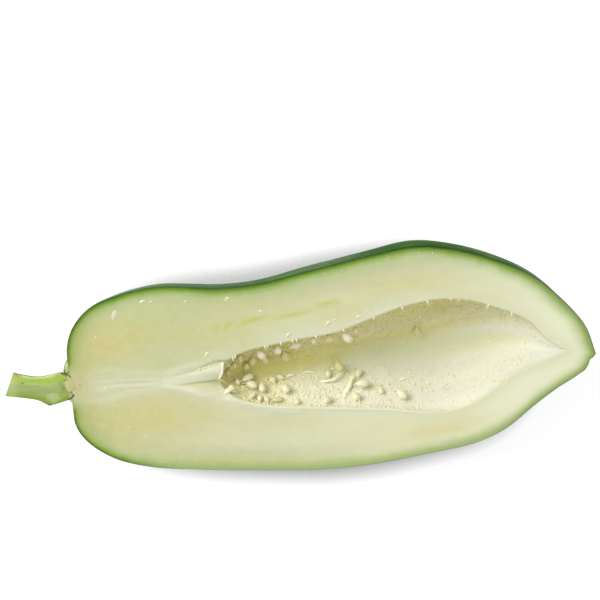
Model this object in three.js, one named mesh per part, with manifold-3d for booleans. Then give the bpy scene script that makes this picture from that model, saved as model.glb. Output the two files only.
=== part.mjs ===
// Half of a green papaya, cut lengthwise through stem and seed hollow, lying on its back.
//
// Millimetres, +Z up. The pieces are made in the frame of the cut face: x runs along the fruit
// from the stem to the tip, y across the cut face and z out of it, so the half lies at z <= 0.
// That frame then leans by CUT_FACE_LEAN toward -Y and is set down on its flat foot.

import * as THREE from 'three';
import { mergeVertices } from 'three/addons/utils/BufferGeometryUtils.js';
import Module from 'manifold-3d';

const wasm = await Module();
wasm.setup();

// ---------------------------------------------------------------- driving dimensions

const CUT_FACE_LEAN = THREE.MathUtils.degToRad(18);
const FOOT_DEPTH = 2.2;        // how much the belly is flattened where it rests
const GAP = 0.35;              // clearance between neighbouring pieces
const SEED_CLEARANCE = 0.5;    // clearance between a seed and the curved wall it lies on
const FLOOR_SLAB = 400;        // side of the block that trims the foot

// The skin has five soft lobes, and the hollow five seed-bearing ridges with grooves between.
const LOBE_COUNT = 5;
const SKIN_LOBE_HEIGHT = 0.012;      // share of the radius
const SKIN_LOBE_PHASE = 0.6;         // radians round the skin
const HOLLOW_RIDGE_HEIGHT = 0.06;    // share of the radius
const HOLLOW_RIDGE_ANGLE = THREE.MathUtils.degToRad(70);
const HOLLOW_RIDGE_FADE = 4;         // how soon the ridges rise from the edges of the cut

const SKIN_STATIONS = 40;
const SKIN_SIDES = 30;
const HOLLOW_STATIONS = 30;
const HOLLOW_SIDES = 24;
const STEM_STATIONS = 8;
const STEM_SIDES = 12;
const LID_HEIGHT = 6;          // the hollow's cutting solid stands this far out of the cut face

// Outlines of the body in the cut plane, [along, across], from the stem joint to the tip.
const BODY_UPPER = [
  [-137, 8], [-137.1, 21], [-133.5, 31.5], [-124.5, 41.5], [-109, 48], [-88, 51.5], [-57, 48.3],
  [-36, 49], [-10, 54], [22, 59.7], [44, 62.7], [62, 60.4], [83, 53.7], [103, 43.5], [119, 29],
  [131, 13.8], [136.3, -2],
];
const BODY_LOWER = [
  [-136.7, -6], [-137.6, -20], [-133, -30], [-120, -41], [-101, -47.8], [-70, -52], [-32, -55.3],
  [-10, -56.6], [18, -55.6], [48, -51.7], [72, -47.7], [88, -41], [104, -28.5], [115, -20.5],
  [130, -10.8], [136.3, -2],
];
// Its keel, [along, depth below the cut face], under the middle of the body.
const BODY_KEEL = [
  [-136.8, 7], [-138, 20], [-132, 33], [-116, 44], [-88, 52], [-50, 56], [-5, 57.5], [40, 56],
  [74, 50.5], [98, 41], [116, 28], [129, 14], [136.3, 0],
];
// How far the skin bulges past the upper edge of the cut, in radians, along the body.
const SKIN_BULGE = [-0.1, -0.08, 0, 0.02, 0.08, 0.14, 0.05];

// The seed hollow's edges and keel in the same terms, from its blunt end to its point.
const HOLLOW_UPPER = [
  [-60.5, 0], [-57, 7.3], [-46, 12.8], [-22, 17], [3, 20.2], [20, 26], [36, 31], [54, 33.8],
  [70, 32.4], [92, 24.3], [103, 17.6], [111, 8], [120, 1],
];
const HOLLOW_LOWER = [
  [-60.5, 0], [-58.5, -7], [-50, -13.2], [-35, -17.5], [0, -21.5], [28, -24.4], [47, -27.8],
  [57, -28.2], [66, -26.8], [74, -23.4], [81.5, -18.4], [89, -12.8], [97.5, -8.2], [107, -4.4],
  [114, -1.6], [120, 1],
];
const HOLLOW_KEEL = [
  [-60.5, 0], [-57, 9], [-46, 15], [-20, 19], [10, 25], [45, 30.5], [70, 29], [90, 21],
  [106, 10.5], [120, 0],
];

// The cut length of stem, from its slanted outer end to the joint with the body.
const STEM_UPPER = [
  [-166, 10.6], [-162, 9.1], [-153.5, 7.4], [-147, 8], [-141, 8.9], [-137.4, 8],
];
const STEM_LOWER = [
  [-171.7, -2], [-161, -4], [-155, -5.6], [-149.3, -8.7], [-143, -7.7], [-137, -6],
];
const STEM_DEPTH = [7, 6.8, 6.6, 7.4, 7.6, 6.9];
const STEM_CUT_DROP = 0.4;     // the stem's cut face lies this far below the fruit's

// Seeds lying on the hollow's wall: [along, degrees round the wall from its upper edge, how far
// the seed stands off the wall, length, width, turn of its length from the fruit's axis].
const WALL_SEEDS = [
  // tucked under the upper edge
  [37, 20, 0, 4.6, 3.2, 80], [51, 18, 0, 4.4, 3, 90], [67, 22, 0, 4.6, 3.4, 80],
  [82, 24, 0, 4.4, 3, 70],
  // against the back wall
  [-57, 94, 0, 3.8, 2.8, 70], [-53.2, 71, 0, 4.4, 3.4, 115], [-49.5, 53, 0, 4.8, 3.4, 95],
  [-46.5, 84, 0, 4.4, 3.2, 100], [-43, 71, 0, 5.8, 3.6, 105], [-36, 72, 0, 5, 3.8, 60],
  [-25.5, 70, 0, 6.8, 4.2, 85], [46, 78, 0.6, 6, 3.8, 88],
  // along the lower ridge
  [-46.7, 119, 0.5, 6.6, 4, -25], [-44.6, 137, 0.5, 6, 4.2, 15], [-39, 141, 0.3, 5.6, 3.8, 85],
  [-52, 128, 0, 4, 2.8, 80], [-33.3, 122, 0, 4.2, 3.4, 60], [-28.8, 117, 0, 4, 3, 20],
  [-26.5, 143, 0.5, 5.6, 4.4, 75], [-3.4, 119, 0, 4, 3, 100], [2, 109, 2, 5.8, 4.6, 75],
  [13, 125, 0.5, 5, 3.2, -65], [14.4, 143, 1.2, 6.8, 4.6, 0], [24, 151, 0, 4, 2.4, 80],
  // close under the lower edge
  [-44.3, 160, 0.5, 5.4, 2.4, -50], [-40.5, 164, 0, 4, 2.6, 90], [-36.9, 164, 0, 4, 2.6, 75],
  [-31.1, 164, 0.3, 5.6, 2.8, -20], [-21, 169, 0, 3.6, 3, 60], [-5.3, 167, 0.4, 5, 3.8, -60],
  [10.2, 160, 0.3, 4.8, 4.2, 60], [34.3, 157, 0.8, 6.8, 4.4, 45],
];
// Seeds hanging clear of the wall behind the upper edge, by their threads:
// [along, across, depth, length, width, turn of its length toward the lower edge].
const HANGING_SEEDS = [
  [-37.6, 8.8, 6, 6.2, 4.4, 60], [-28.7, 10.6, 6, 5, 4.2, 85], [-19.3, 12.3, 7, 6.4, 4.2, -15],
  [-9.7, 14.8, 5, 4, 3.2, 90], [-1.3, 15.3, 6, 5.2, 4.6, 90], [7.7, 15.3, 5, 7.4, 4.6, 50],
  [12.6, 18.8, 5, 4, 3.4, 90],
];
const SEED_THICKNESS = 0.9;    // share of its width
const SEED_AROUND = 8;
const SEED_ALONG = 6;
const WALL_STEP = 0.01;        // step over the wall for its directions at a seed
const STATION_TOLERANCE = 1e-4;

// ---------------------------------------------------------------- curves and lofts

function outline(points) {
  const vectors = points.map(([along, across]) => new THREE.Vector3(along, across, 0));
  return new THREE.CatmullRomCurve3(vectors, false, 'centripetal');
}

function keel(points) {
  const vectors = points.map(([along, depth]) => new THREE.Vector3(along, 0, -depth));
  return new THREE.CatmullRomCurve3(vectors, false, 'centripetal');
}

// A value that runs smoothly through evenly spaced samples, for u from 0 to 1.
function smoothValue(samples, u) {
  const place = THREE.MathUtils.clamp(u, 0, 1) * (samples.length - 1);
  const index = Math.min(Math.floor(place), samples.length - 2);
  const t = place - index;
  return THREE.MathUtils.lerp(samples[index], samples[index + 1], t * t * (3 - 2 * t));
}

// Stations that lie closer together toward both ends.
function station(index, count) {
  return 0.5 - 0.5 * Math.cos((Math.PI * index) / count);
}

// Closed solid through rings of equally many points, each end closed onto one point.
function loft(rings, startPoint, endPoint) {
  const sides = rings[0].length;
  const points = [...rings.flat(), startPoint, endPoint];
  const start = points.length - 2;
  const end = points.length - 1;
  const lastRing = (rings.length - 1) * sides;
  const index = [];
  for (let side = 0; side < sides; side += 1) {
    const next = (side + 1) % sides;
    index.push(start, side, next);
    index.push(end, lastRing + next, lastRing + side);
    for (let ring = 0; ring < rings.length - 1; ring += 1) {
      const here = ring * sides;
      const there = here + sides;
      index.push(here + side, there + side, there + next);
      index.push(here + side, there + next, here + next);
    }
  }
  const geometry = new THREE.BufferGeometry();
  geometry.setAttribute('position', new THREE.Float32BufferAttribute(points.flatMap((p) => [...p]), 3));
  geometry.setIndex(index);
  return geometry;
}

function toSolid(geometry) {
  const bare = geometry.clone();
  bare.deleteAttribute('normal');
  bare.deleteAttribute('uv');
  const merged = mergeVertices(bare);
  return new wasm.Manifold(new wasm.Mesh({
    numProp: 3,
    vertProperties: Float32Array.from(merged.getAttribute('position').array),
    triVerts: Uint32Array.from(merged.getIndex().array),
  }));
}

function toGeometry(solid) {
  const mesh = solid.getMesh();
  const geometry = new THREE.BufferGeometry();
  geometry.setAttribute('position', new THREE.BufferAttribute(mesh.vertProperties, mesh.numProp));
  geometry.setIndex(new THREE.BufferAttribute(mesh.triVerts, 1));
  geometry.computeVertexNormals();
  return geometry;
}

// ---------------------------------------------------------------- body and hollow

const bodyUpper = outline(BODY_UPPER);
const bodyLower = outline(BODY_LOWER);
const bodyKeel = keel(BODY_KEEL);
const hollowUpper = outline(HOLLOW_UPPER);
const hollowLower = outline(HOLLOW_LOWER);
const hollowKeel = keel(HOLLOW_KEEL);

// The middle of a section's cut edge, and the ways from there to its upper edge and its keel.
function section(upperEdge, lowerEdge, keelLine, u) {
  const upper = upperEdge.getPointAt(u);
  const middle = upper.clone().lerp(lowerEdge.getPointAt(u), 0.5);
  const down = keelLine.getPointAt(u);
  down.x -= middle.x;
  return { middle, across: upper.sub(middle), down };
}

// A point of the skin: u runs from stem to tip, round from 0 at the upper edge of the cut
// to 1 at its lower edge.
function skinPoint(u, round) {
  const { middle, across, down } = section(bodyUpper, bodyLower, bodyKeel, u);
  const bulge = smoothValue(SKIN_BULGE, u);
  const angle = THREE.MathUtils.lerp(-bulge, Math.PI + bulge, round);
  const lobeHeight = SKIN_LOBE_HEIGHT * Math.sin(Math.PI * round);
  const lobe = 1 + lobeHeight * Math.cos(LOBE_COUNT * angle + SKIN_LOBE_PHASE);
  const sideways = (lobe * Math.cos(angle)) / Math.cos(bulge);
  const deep = (lobe * (Math.sin(angle) + Math.sin(bulge))) / (1 + Math.sin(bulge));
  return middle.addScaledVector(across, sideways).addScaledVector(down, deep);
}

// A point of the hollow's wall in the same terms.
function hollowPoint(u, round) {
  const { middle, across, down } = section(hollowUpper, hollowLower, hollowKeel, u);
  const angle = Math.PI * round;
  const height = HOLLOW_RIDGE_HEIGHT * Math.min(1, HOLLOW_RIDGE_FADE * Math.sin(angle));
  const ridge = 1 - height * Math.cos(LOBE_COUNT * (angle - HOLLOW_RIDGE_ANGLE));
  return middle
    .addScaledVector(across, ridge * Math.cos(angle))
    .addScaledVector(down, ridge * Math.sin(angle));
}

// A point inside a half-round ring whose first and last points lie on the cut.
function middleOfHalfRing(ring) {
  const deepest = ring[(ring.length - 1) / 2];
  return ring[0].clone().lerp(ring[ring.length - 1], 0.5).lerp(deepest, 0.5);
}

function ringOf(pointAt, u, sides) {
  return Array.from({ length: sides + 1 }, (_, side) => pointAt(u, side / sides));
}

function bodySolid() {
  const rings = [];
  for (let index = 0; index < SKIN_STATIONS; index += 1) {
    rings.push(ringOf(skinPoint, station(index, SKIN_STATIONS), SKIN_SIDES));
  }
  return toSolid(loft(rings, middleOfHalfRing(rings[0]), bodyUpper.getPointAt(1)));
}

function hollowSolid() {
  const rings = [];
  for (let index = 1; index < HOLLOW_STATIONS; index += 1) {
    const ring = ringOf(hollowPoint, station(index, HOLLOW_STATIONS), HOLLOW_SIDES);
    const lowerLid = ring[HOLLOW_SIDES].clone().setZ(LID_HEIGHT);
    const upperLid = ring[0].clone().setZ(LID_HEIGHT);
    rings.push([...ring, lowerLid, upperLid]);
  }
  return toSolid(loft(rings, hollowUpper.getPointAt(0), hollowUpper.getPointAt(1)));
}

// The ground under the leaning half, raised by the foot's depth into the lowest part of the belly.
function groundSolid(body) {
  const groundUp = new THREE.Vector3(0, 0, 1).applyAxisAngle(new THREE.Vector3(1, 0, 0), -CUT_FACE_LEAN);
  const vertices = toGeometry(body).getAttribute('position');
  const vertex = new THREE.Vector3();
  let lowest = Infinity;
  for (let index = 0; index < vertices.count; index += 1) {
    vertex.fromBufferAttribute(vertices, index);
    lowest = Math.min(lowest, vertex.dot(groundUp));
  }
  const slab = new THREE.BoxGeometry(FLOOR_SLAB, FLOOR_SLAB, FLOOR_SLAB);
  slab.translate(0, 0, lowest + FOOT_DEPTH - FLOOR_SLAB / 2);
  slab.rotateX(-CUT_FACE_LEAN);
  return toSolid(slab);
}

function fruitGeometry() {
  const body = bodySolid();
  return toGeometry(body.subtract(hollowSolid()).subtract(groundSolid(body)));
}

// ---------------------------------------------------------------- seeds

// The u at which the middle of the hollow's wall lies at the given place along the fruit.
function hollowStationAt(place, round) {
  let low = 0;
  let high = 1;
  while (high - low > STATION_TOLERANCE) {
    const middle = (low + high) / 2;
    if (hollowPoint(middle, round).x < place) {
      low = middle;
    } else {
      high = middle;
    }
  }
  return low;
}

// A seed centred on a point, with its length along one direction and its flat side facing another.
function seedMesh(name, centre, length, width, lengthwise, facing) {
  const geometry = new THREE.SphereGeometry(0.5, SEED_AROUND, SEED_ALONG);
  geometry.rotateZ(-Math.PI / 2);
  geometry.scale(length, width, SEED_THICKNESS * width);
  const mesh = piece(name, geometry, seedMaterial);
  const crosswise = new THREE.Vector3().crossVectors(facing, lengthwise);
  mesh.setRotationFromMatrix(new THREE.Matrix4().makeBasis(lengthwise, crosswise, facing));
  mesh.position.copy(centre);
  return mesh;
}

function wallSeed(name, [place, degreesRound, standOff, length, width, turn]) {
  const round = degreesRound / 180;
  const u = hollowStationAt(place, round);
  const lengthways = hollowPoint(u + WALL_STEP, round).sub(hollowPoint(u - WALL_STEP, round));
  lengthways.normalize();
  const down = hollowPoint(u, round + WALL_STEP).sub(hollowPoint(u, round - WALL_STEP));
  down.addScaledVector(lengthways, -down.dot(lengthways)).normalize();
  const inward = new THREE.Vector3().crossVectors(down, lengthways);
  const angle = THREE.MathUtils.degToRad(turn);
  const direction = lengthways.multiplyScalar(Math.cos(angle)).addScaledVector(down, Math.sin(angle));
  const height = (SEED_THICKNESS * width) / 2 + SEED_CLEARANCE + standOff;
  const centre = hollowPoint(u, round).addScaledVector(inward, height);
  return seedMesh(name, centre, length, width, direction, inward);
}

function hangingSeed(name, [place, across, depth, length, width, turn]) {
  const angle = THREE.MathUtils.degToRad(turn);
  const direction = new THREE.Vector3(Math.cos(angle), -Math.sin(angle), 0);
  const centre = new THREE.Vector3(place, across, -depth);
  return seedMesh(name, centre, length, width, direction, new THREE.Vector3(0, 0, 1));
}

// ---------------------------------------------------------------- stem

function stemGeometry() {
  const upperEdge = outline(STEM_UPPER);
  const lowerEdge = outline(STEM_LOWER);
  const rings = [];
  for (let index = 0; index <= STEM_STATIONS; index += 1) {
    const u = index / STEM_STATIONS;
    const upper = upperEdge.getPoint(u);
    const middle = upper.clone().lerp(lowerEdge.getPoint(u), 0.5);
    const across = upper.clone().sub(middle);
    const down = new THREE.Vector3(0, 0, -smoothValue(STEM_DEPTH, u));
    rings.push(Array.from({ length: STEM_SIDES + 1 }, (_, side) => {
      const angle = (Math.PI * side) / STEM_SIDES;
      return middle.clone()
        .addScaledVector(across, Math.cos(angle))
        .addScaledVector(down, Math.sin(angle));
    }));
  }
  const outerEnd = middleOfHalfRing(rings[0]);
  const joint = middleOfHalfRing(rings[STEM_STATIONS]);
  const geometry = loft(rings, outerEnd, joint);
  geometry.translate(-GAP, 0, -STEM_CUT_DROP);
  geometry.computeVertexNormals();
  return geometry;
}

// ---------------------------------------------------------------- assembly

function plantMaterial(color, roughness) {
  return new THREE.MeshStandardMaterial({ color, roughness, metalness: 0 });
}

const fruitMaterial = plantMaterial(0xd6dba8, 0.45);
const stemMaterial = plantMaterial(0xa5bf5a, 0.5);
const seedMaterial = plantMaterial(0xefe9cf, 0.35);

function piece(name, geometry, material) {
  const mesh = new THREE.Mesh(geometry, material);
  mesh.name = name;
  return mesh;
}

function numbered(name, index) {
  return `${name}_${String(index + 1).padStart(2, '0')}`;
}

const half = new THREE.Group();
half.rotation.x = CUT_FACE_LEAN;
half.add(piece('fruit_half', fruitGeometry(), fruitMaterial));
half.add(piece('stem_half', stemGeometry(), stemMaterial));
WALL_SEEDS.forEach((seed, index) => half.add(wallSeed(numbered('wall_seed', index), seed)));
HANGING_SEEDS.forEach((seed, index) => half.add(hangingSeed(numbered('hanging_seed', index), seed)));

// Set down with the middle of its footprint over the origin.
half.updateMatrixWorld(true);
const box = new THREE.Box3().setFromObject(half, true);
half.position.set(-(box.min.x + box.max.x) / 2, -(box.min.y + box.max.y) / 2, -box.min.z);

const papaya = new THREE.Group();
papaya.add(half);
papaya.updateMatrixWorld(true);

export default papaya;
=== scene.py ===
"""Half of a green papaya, cut lengthwise and lying on its back, finished piece by piece.

Shapes are worked out in millimetres in the frame of the cut face: x runs along the fruit from
the stem to the tip, y across the cut and z out of it. placed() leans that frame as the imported
model does and gives metres.
"""

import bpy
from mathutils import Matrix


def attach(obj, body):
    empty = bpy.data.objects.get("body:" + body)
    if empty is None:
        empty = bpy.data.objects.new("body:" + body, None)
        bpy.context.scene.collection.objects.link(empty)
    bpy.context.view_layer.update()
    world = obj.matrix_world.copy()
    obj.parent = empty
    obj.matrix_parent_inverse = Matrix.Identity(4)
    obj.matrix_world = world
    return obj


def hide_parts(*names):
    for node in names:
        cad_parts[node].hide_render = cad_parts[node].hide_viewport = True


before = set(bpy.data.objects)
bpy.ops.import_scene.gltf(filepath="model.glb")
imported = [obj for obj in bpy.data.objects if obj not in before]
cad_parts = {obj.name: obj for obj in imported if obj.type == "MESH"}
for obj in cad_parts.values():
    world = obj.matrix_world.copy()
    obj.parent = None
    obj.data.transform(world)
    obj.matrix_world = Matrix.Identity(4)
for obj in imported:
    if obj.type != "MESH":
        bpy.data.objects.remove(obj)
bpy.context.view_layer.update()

import functools
import itertools
import math

import bmesh
import bpy
import numpy as np
from mathutils import Vector

bl_info = {
    "name": "Green Papaya Half",
    "version": (1, 0, 0),
    "blender": (4, 5, 0),
    "location": "View3D > Sidebar > Papaya",
    "description": "Builds the cut half of a green papaya with its stem, seeds and studio",
    "category": "Add Mesh",
}

BODY = "root"
MM = 0.001

# ------------------------------------------------------------------ shape of the fruit

CUT_LEAN = 18  # degrees

# Edges of the cut, [along, across], and keel, [along, depth], from the stem joint to the tip.
BODY_UPPER = [
    (-137, 8), (-137.1, 21), (-133.5, 31.5), (-124.5, 41.5), (-109, 48), (-88, 51.5),
    (-57, 48.3), (-36, 49), (-10, 54), (22, 59.7), (44, 62.7), (62, 60.4), (83, 53.7),
    (103, 43.5), (119, 29), (131, 13.8), (136.3, -2),
]
BODY_LOWER = [
    (-136.7, -6), (-137.6, -20), (-133, -30), (-120, -41), (-101, -47.8), (-70, -52),
    (-32, -55.3), (-10, -56.6), (18, -55.6), (48, -51.7), (72, -47.7), (88, -41),
    (104, -28.5), (115, -20.5), (130, -10.8), (136.3, -2),
]
BODY_KEEL = [
    (-136.8, 7), (-138, 20), (-132, 33), (-116, 44), (-88, 52), (-50, 56), (-5, 57.5),
    (40, 56), (74, 50.5), (98, 41), (116, 28), (129, 14), (136.3, 0),
]
# Small notch of the fallen blossom beside the tip: [along, across], reach, depth, and its way in.
BLOSSOM_NOTCH = [((132.9, -5.4), (1.5, 1.6), 1.5), ((129.8, -9.6), (1.6, 1.8), -0.6)]
NOTCH_WAY = np.array([0.45, -0.89, 0])
SKIN_BULGE = [-0.1, -0.08, 0, 0.02, 0.08, 0.14, 0.05]

HOLLOW_UPPER = [
    (-60.5, 0), (-57, 7.3), (-46, 12.8), (-22, 17), (3, 20.2), (20, 26), (36, 31),
    (54, 33.8), (70, 32.4), (92, 24.3), (103, 17.6), (111, 8), (120, 1),
]
HOLLOW_LOWER = [
    (-60.5, 0), (-58.5, -7), (-50, -13.2), (-35, -17.5), (0, -21.5), (28, -24.4), (47, -27.8),
    (57, -28.2), (66, -26.8), (74, -23.4), (81.5, -18.4), (89, -12.8), (97.5, -8.2), (107, -4.4),
    (114, -1.6), (120, 1),
]
HOLLOW_KEEL = [
    (-60.5, 0), (-57, 9), (-46, 15), (-20, 19), (10, 25), (45, 30.5), (70, 29), (90, 21),
    (106, 10.5), (120, 0),
]
TIP = (136.3, -2, 0)
HOLLOW_START = -60.5
HOLLOW_END = 120

LOBE_COUNT = 5
SKIN_LOBE_HEIGHT = 0.012
SKIN_LOBE_PHASE = 0.6
HOLLOW_RIDGE_HEIGHT = 0.06
HOLLOW_RIDGE_ANGLE = math.radians(70)
HOLLOW_RIDGE_FADE = 4

# The cut length of stem, from its slanted outer end to the joint with the fruit.
STEM_UPPER = [(-166, 10.6), (-162, 9.1), (-153.5, 7.4), (-147, 8), (-141, 8.9), (-137.4, 8)]
STEM_LOWER = [(-171.7, -2), (-161, -4), (-155, -5.6), (-149.3, -8.7), (-143, -7.7), (-137, -6)]
STEM_DEPTH = [7, 6.8, 6.6, 7.4, 7.6, 6.9]
STEM_SHIFT = (-0.35, 0, -0.4)

# Fineness of the fruit's mesh: how far apart its sections lie up to each place along it.
SECTION_SPACING = [(-92, 1.0), (HOLLOW_START, 0.36), (-46, 0.36), (HOLLOW_END, 0.85), (TIP[0], 0.9)]
SKIN_ROWS = 72
HOLLOW_ROWS = 64
# Rows of the cut face, in millimetres from the hollow's lip and from the skin.
LIP_ROWS = [0, 0.25, 0.6, 1.0, 1.5, 2, 2.5, 3, 3.5, 4, 4.5, 5, 5.5, 6, 6.5, 7, 7.6, 8.3, 9.2, 10.4, 12]
RIND_ROWS = [0, 0.18, 0.5, 1.0, 1.8, 3.0]
MIDDLE_ROWS = 8
NARROW_FACE = 28


def catmull_rom(knots, steps=48):
    """Points along a centripetal Catmull-Rom curve through the knots."""
    knots = np.asarray(knots, float)
    padded = np.vstack([2 * knots[0] - knots[1], knots, 2 * knots[-1] - knots[-2]])
    t = np.linspace(0, 1, steps, endpoint=False)[:, None]
    pieces = []
    for before, start, end, after in zip(padded, padded[1:], padded[2:], padded[3:]):
        pairs = ((before, start), (start, end), (end, after))
        first, middle, last = (np.linalg.norm(b - a) ** 0.5 for a, b in pairs)
        leave = (start - before) / first - (end - before) / (first + middle) + (end - start) / middle
        arrive = (end - start) / middle - (after - start) / (middle + last) + (after - end) / last
        leave, arrive = leave * middle, arrive * middle
        square = -3 * start + 3 * end - 2 * leave - arrive
        cube = 2 * start - 2 * end + leave + arrive
        pieces.append(start + leave * t + square * t**2 + cube * t**3)
    return np.vstack(pieces + [knots[-1:]])


class Line:
    """A smooth line through given points, read at a share of its length or of its knots."""

    def __init__(self, points, by_length=True):
        self.points = catmull_rom(points)
        steps = np.linalg.norm(np.diff(self.points, axis=0), axis=1)
        self.length = steps.sum()
        if by_length:
            self.shares = np.concatenate([[0], np.cumsum(steps)]) / self.length
        else:
            self.shares = np.linspace(0, 1, len(self.points))

    def at(self, share):
        return np.stack([np.interp(share, self.shares, axis) for axis in self.points.T], -1)


def edge_line(points, **options):
    return Line([(along, across, 0) for along, across in points], **options)


def keel_line(points):
    return Line([(along, 0, -depth) for along, depth in points])


def smooth_step(value):
    value = np.clip(value, 0, 1)
    return value * value * (3 - 2 * value)


def rising(value, start, width):
    """0 up to the start, then smoothly up to 1 over the width."""
    return smooth_step((value - start) / width)


def falling(value, end, width):
    """1 until the width before the end, then smoothly down to 0 at the end."""
    return smooth_step((end - value) / width)


def band(value, middle, width):
    """1 at the middle, falling softly to 0 on both sides of it."""
    return np.exp(-((value - middle) / width) ** 2)


def largest(*values):
    """The largest of several values at every point."""
    return functools.reduce(np.maximum, values)


def turned(x, y, degrees):
    """Flat coordinates turned about their origin."""
    cos, sin = math.cos(math.radians(degrees)), math.sin(math.radians(degrees))
    return x * cos - y * sin, x * sin + y * cos


def smooth_value(samples, share):
    """A value that runs smoothly through evenly spaced samples, for shares from 0 to 1."""
    place = np.clip(share, 0, 1) * (len(samples) - 1)
    index = np.minimum(np.floor(place).astype(int), len(samples) - 2)
    samples = np.asarray(samples, float)
    blend = smooth_step(place - index)
    return samples[index] * (1 - blend) + samples[index + 1] * blend


body_upper = edge_line(BODY_UPPER)
body_lower = edge_line(BODY_LOWER)
body_keel = keel_line(BODY_KEEL)
hollow_upper = edge_line(HOLLOW_UPPER)
hollow_lower = edge_line(HOLLOW_LOWER)
hollow_keel = keel_line(HOLLOW_KEEL)


def section(upper_edge, lower_edge, keel, share):
    """The middle of a section's cut edge, and the ways from there to its upper edge and keel."""
    upper = upper_edge.at(share)
    middle = (upper + lower_edge.at(share)) / 2
    down = keel.at(share)
    down[..., 0] -= middle[..., 0]
    return middle, upper - middle, down


def skin_point(share, around):
    middle, across, down = section(body_upper, body_lower, body_keel, share)
    bulge = smooth_value(SKIN_BULGE, share)
    angle = -bulge + (math.pi + 2 * bulge) * around
    lobe_height = SKIN_LOBE_HEIGHT * np.sin(math.pi * around)
    lobe = 1 + lobe_height * np.cos(LOBE_COUNT * angle + SKIN_LOBE_PHASE)
    sideways = lobe * np.cos(angle) / np.cos(bulge)
    deep = lobe * (np.sin(angle) + np.sin(bulge)) / (1 + np.sin(bulge))
    return middle + across * sideways[..., None] + down * deep[..., None]


OUTLINE = np.vstack([body_upper.points[::4], body_lower.points[::-4]])
LIPS = np.vstack([hollow_upper.points[::4], hollow_lower.points[::-4]])


def hollow_point(share, around):
    middle, across, down = section(hollow_upper, hollow_lower, hollow_keel, share)
    angle = math.pi * around
    height = HOLLOW_RIDGE_HEIGHT * np.minimum(1, HOLLOW_RIDGE_FADE * np.sin(angle))
    ridge = 1 - height * np.cos(LOBE_COUNT * (angle - HOLLOW_RIDGE_ANGLE))
    sideways = ridge * np.cos(angle)
    deep = ridge * np.sin(angle)
    return middle + across * sideways[..., None] + down * deep[..., None]


# ------------------------------------------------------------------ placing the cut frame

def leaned(points, lean=CUT_LEAN):
    """Turns points or directions of the cut frame to the way the half lies."""
    x, y, z = np.moveaxis(np.asarray(points, float), -1, 0)
    return np.stack([x, *turned(y, z, lean)], -1)


def node_points(name):
    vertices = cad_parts[name].data.vertices
    points = np.empty(len(vertices) * 3)
    vertices.foreach_get("co", points)
    return points.reshape(-1, 3)


def cut_origin():
    """Where the cut frame's origin lies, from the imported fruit's tip."""
    points = node_points("fruit_half")
    return points[points[:, 0].argmax()] - leaned(TIP) * MM


ORIGIN = cut_origin()


def placed(points):
    """Points of the cut frame in millimetres, as points of the model in metres."""
    return ORIGIN + leaned(points) * MM


def unplaced(points):
    """Points of the model in metres, as points of the cut frame in millimetres."""
    return leaned((np.asarray(points) - ORIGIN) / MM, -CUT_LEAN)


# ------------------------------------------------------------------ noise, masks and meshes

def noise(points, cell, seed=0):
    """Smooth noise from -1 to 1, one lump to a cell; cell is one size or one for each axis."""
    place = np.asarray(points, float) / np.asarray(cell, float)
    base = np.floor(place).astype(np.int64)
    part = place - base
    fade = part * part * (3 - 2 * part)
    total = np.zeros(place.shape[:-1])
    for corner in itertools.product((0, 1), repeat=3):
        x, y, z = np.moveaxis(base + np.array(corner), -1, 0)
        hashed = (x * 374761393 + y * 668265263 + z * 2147483647 + seed * 974711) & 0xFFFFFFFF
        hashed = ((hashed ^ (hashed >> 13)) * 1274126177) & 0xFFFFFFFF
        hashed = (hashed ^ (hashed >> 16)) & 0xFFFF
        weight = np.prod(np.where(corner, fade, 1 - fade), axis=-1)
        total += weight * (hashed / 32767.5 - 1)
    return total


def distance_to(points, line):
    """Distance in the cut plane from each point to a line through given points."""
    points = np.asarray(points, float)
    flat = points.reshape(-1, points.shape[-1])[:, :2]
    line = np.asarray(line, float)[:, :2]
    nearest = np.full(len(flat), np.inf)
    for start, end in zip(line, line[1:]):
        way = end - start
        share = np.clip((flat - start) @ way / max(way @ way, 1e-12), 0, 1)
        gap = flat - start - share[:, None] * way
        nearest = np.minimum(nearest, np.einsum("ij,ij->i", gap, gap))
    return np.sqrt(nearest).reshape(points.shape[:-1])


def beside(points, line, width):
    """1 on a line, falling softly to 0 at about twice the width from it."""
    return band(distance_to(points, line), 0, width)


def strand(points, line, width):
    """Nearness to a strand that fades out toward both its ends."""
    line = catmull_rom(line, 8)
    x = points[..., 0]
    return beside(points, line, width) * rising(x, line[0, 0], 14) * falling(x, line[-1, 0], 10)


def patch(points, centre, reach):
    """1 at a centre in the cut plane, falling softly to 0 beyond its reach along and across."""
    offset = (np.asarray(points)[..., :2] - np.asarray(centre)) / np.asarray(reach)
    return np.exp(-(offset**2).sum(-1))


def section_normals(points, inward=True):
    """Normals of a grid of sections, toward the middle of each section or away from it."""
    normals = np.cross(np.gradient(points, axis=0), np.gradient(points, axis=1))
    normals = normals / np.maximum(np.linalg.norm(normals, axis=-1, keepdims=True), 1e-9)
    to_middle = points.mean(axis=1, keepdims=True) - points
    side = np.sign(np.median(np.einsum("ijk,ijk->ij", normals, to_middle)))
    return normals * (side if inward else -side)


def ring_faces(rows, columns):
    """Quads between closed rings of points that lie one after the other."""
    row, column = np.meshgrid(np.arange(rows - 1), np.arange(columns), indexing="ij")
    following = (column + 1) % columns
    corners = [row * columns + column, (row + 1) * columns + column,
               (row + 1) * columns + following, row * columns + following]
    return np.stack([corner.ravel() for corner in corners], -1)


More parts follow.
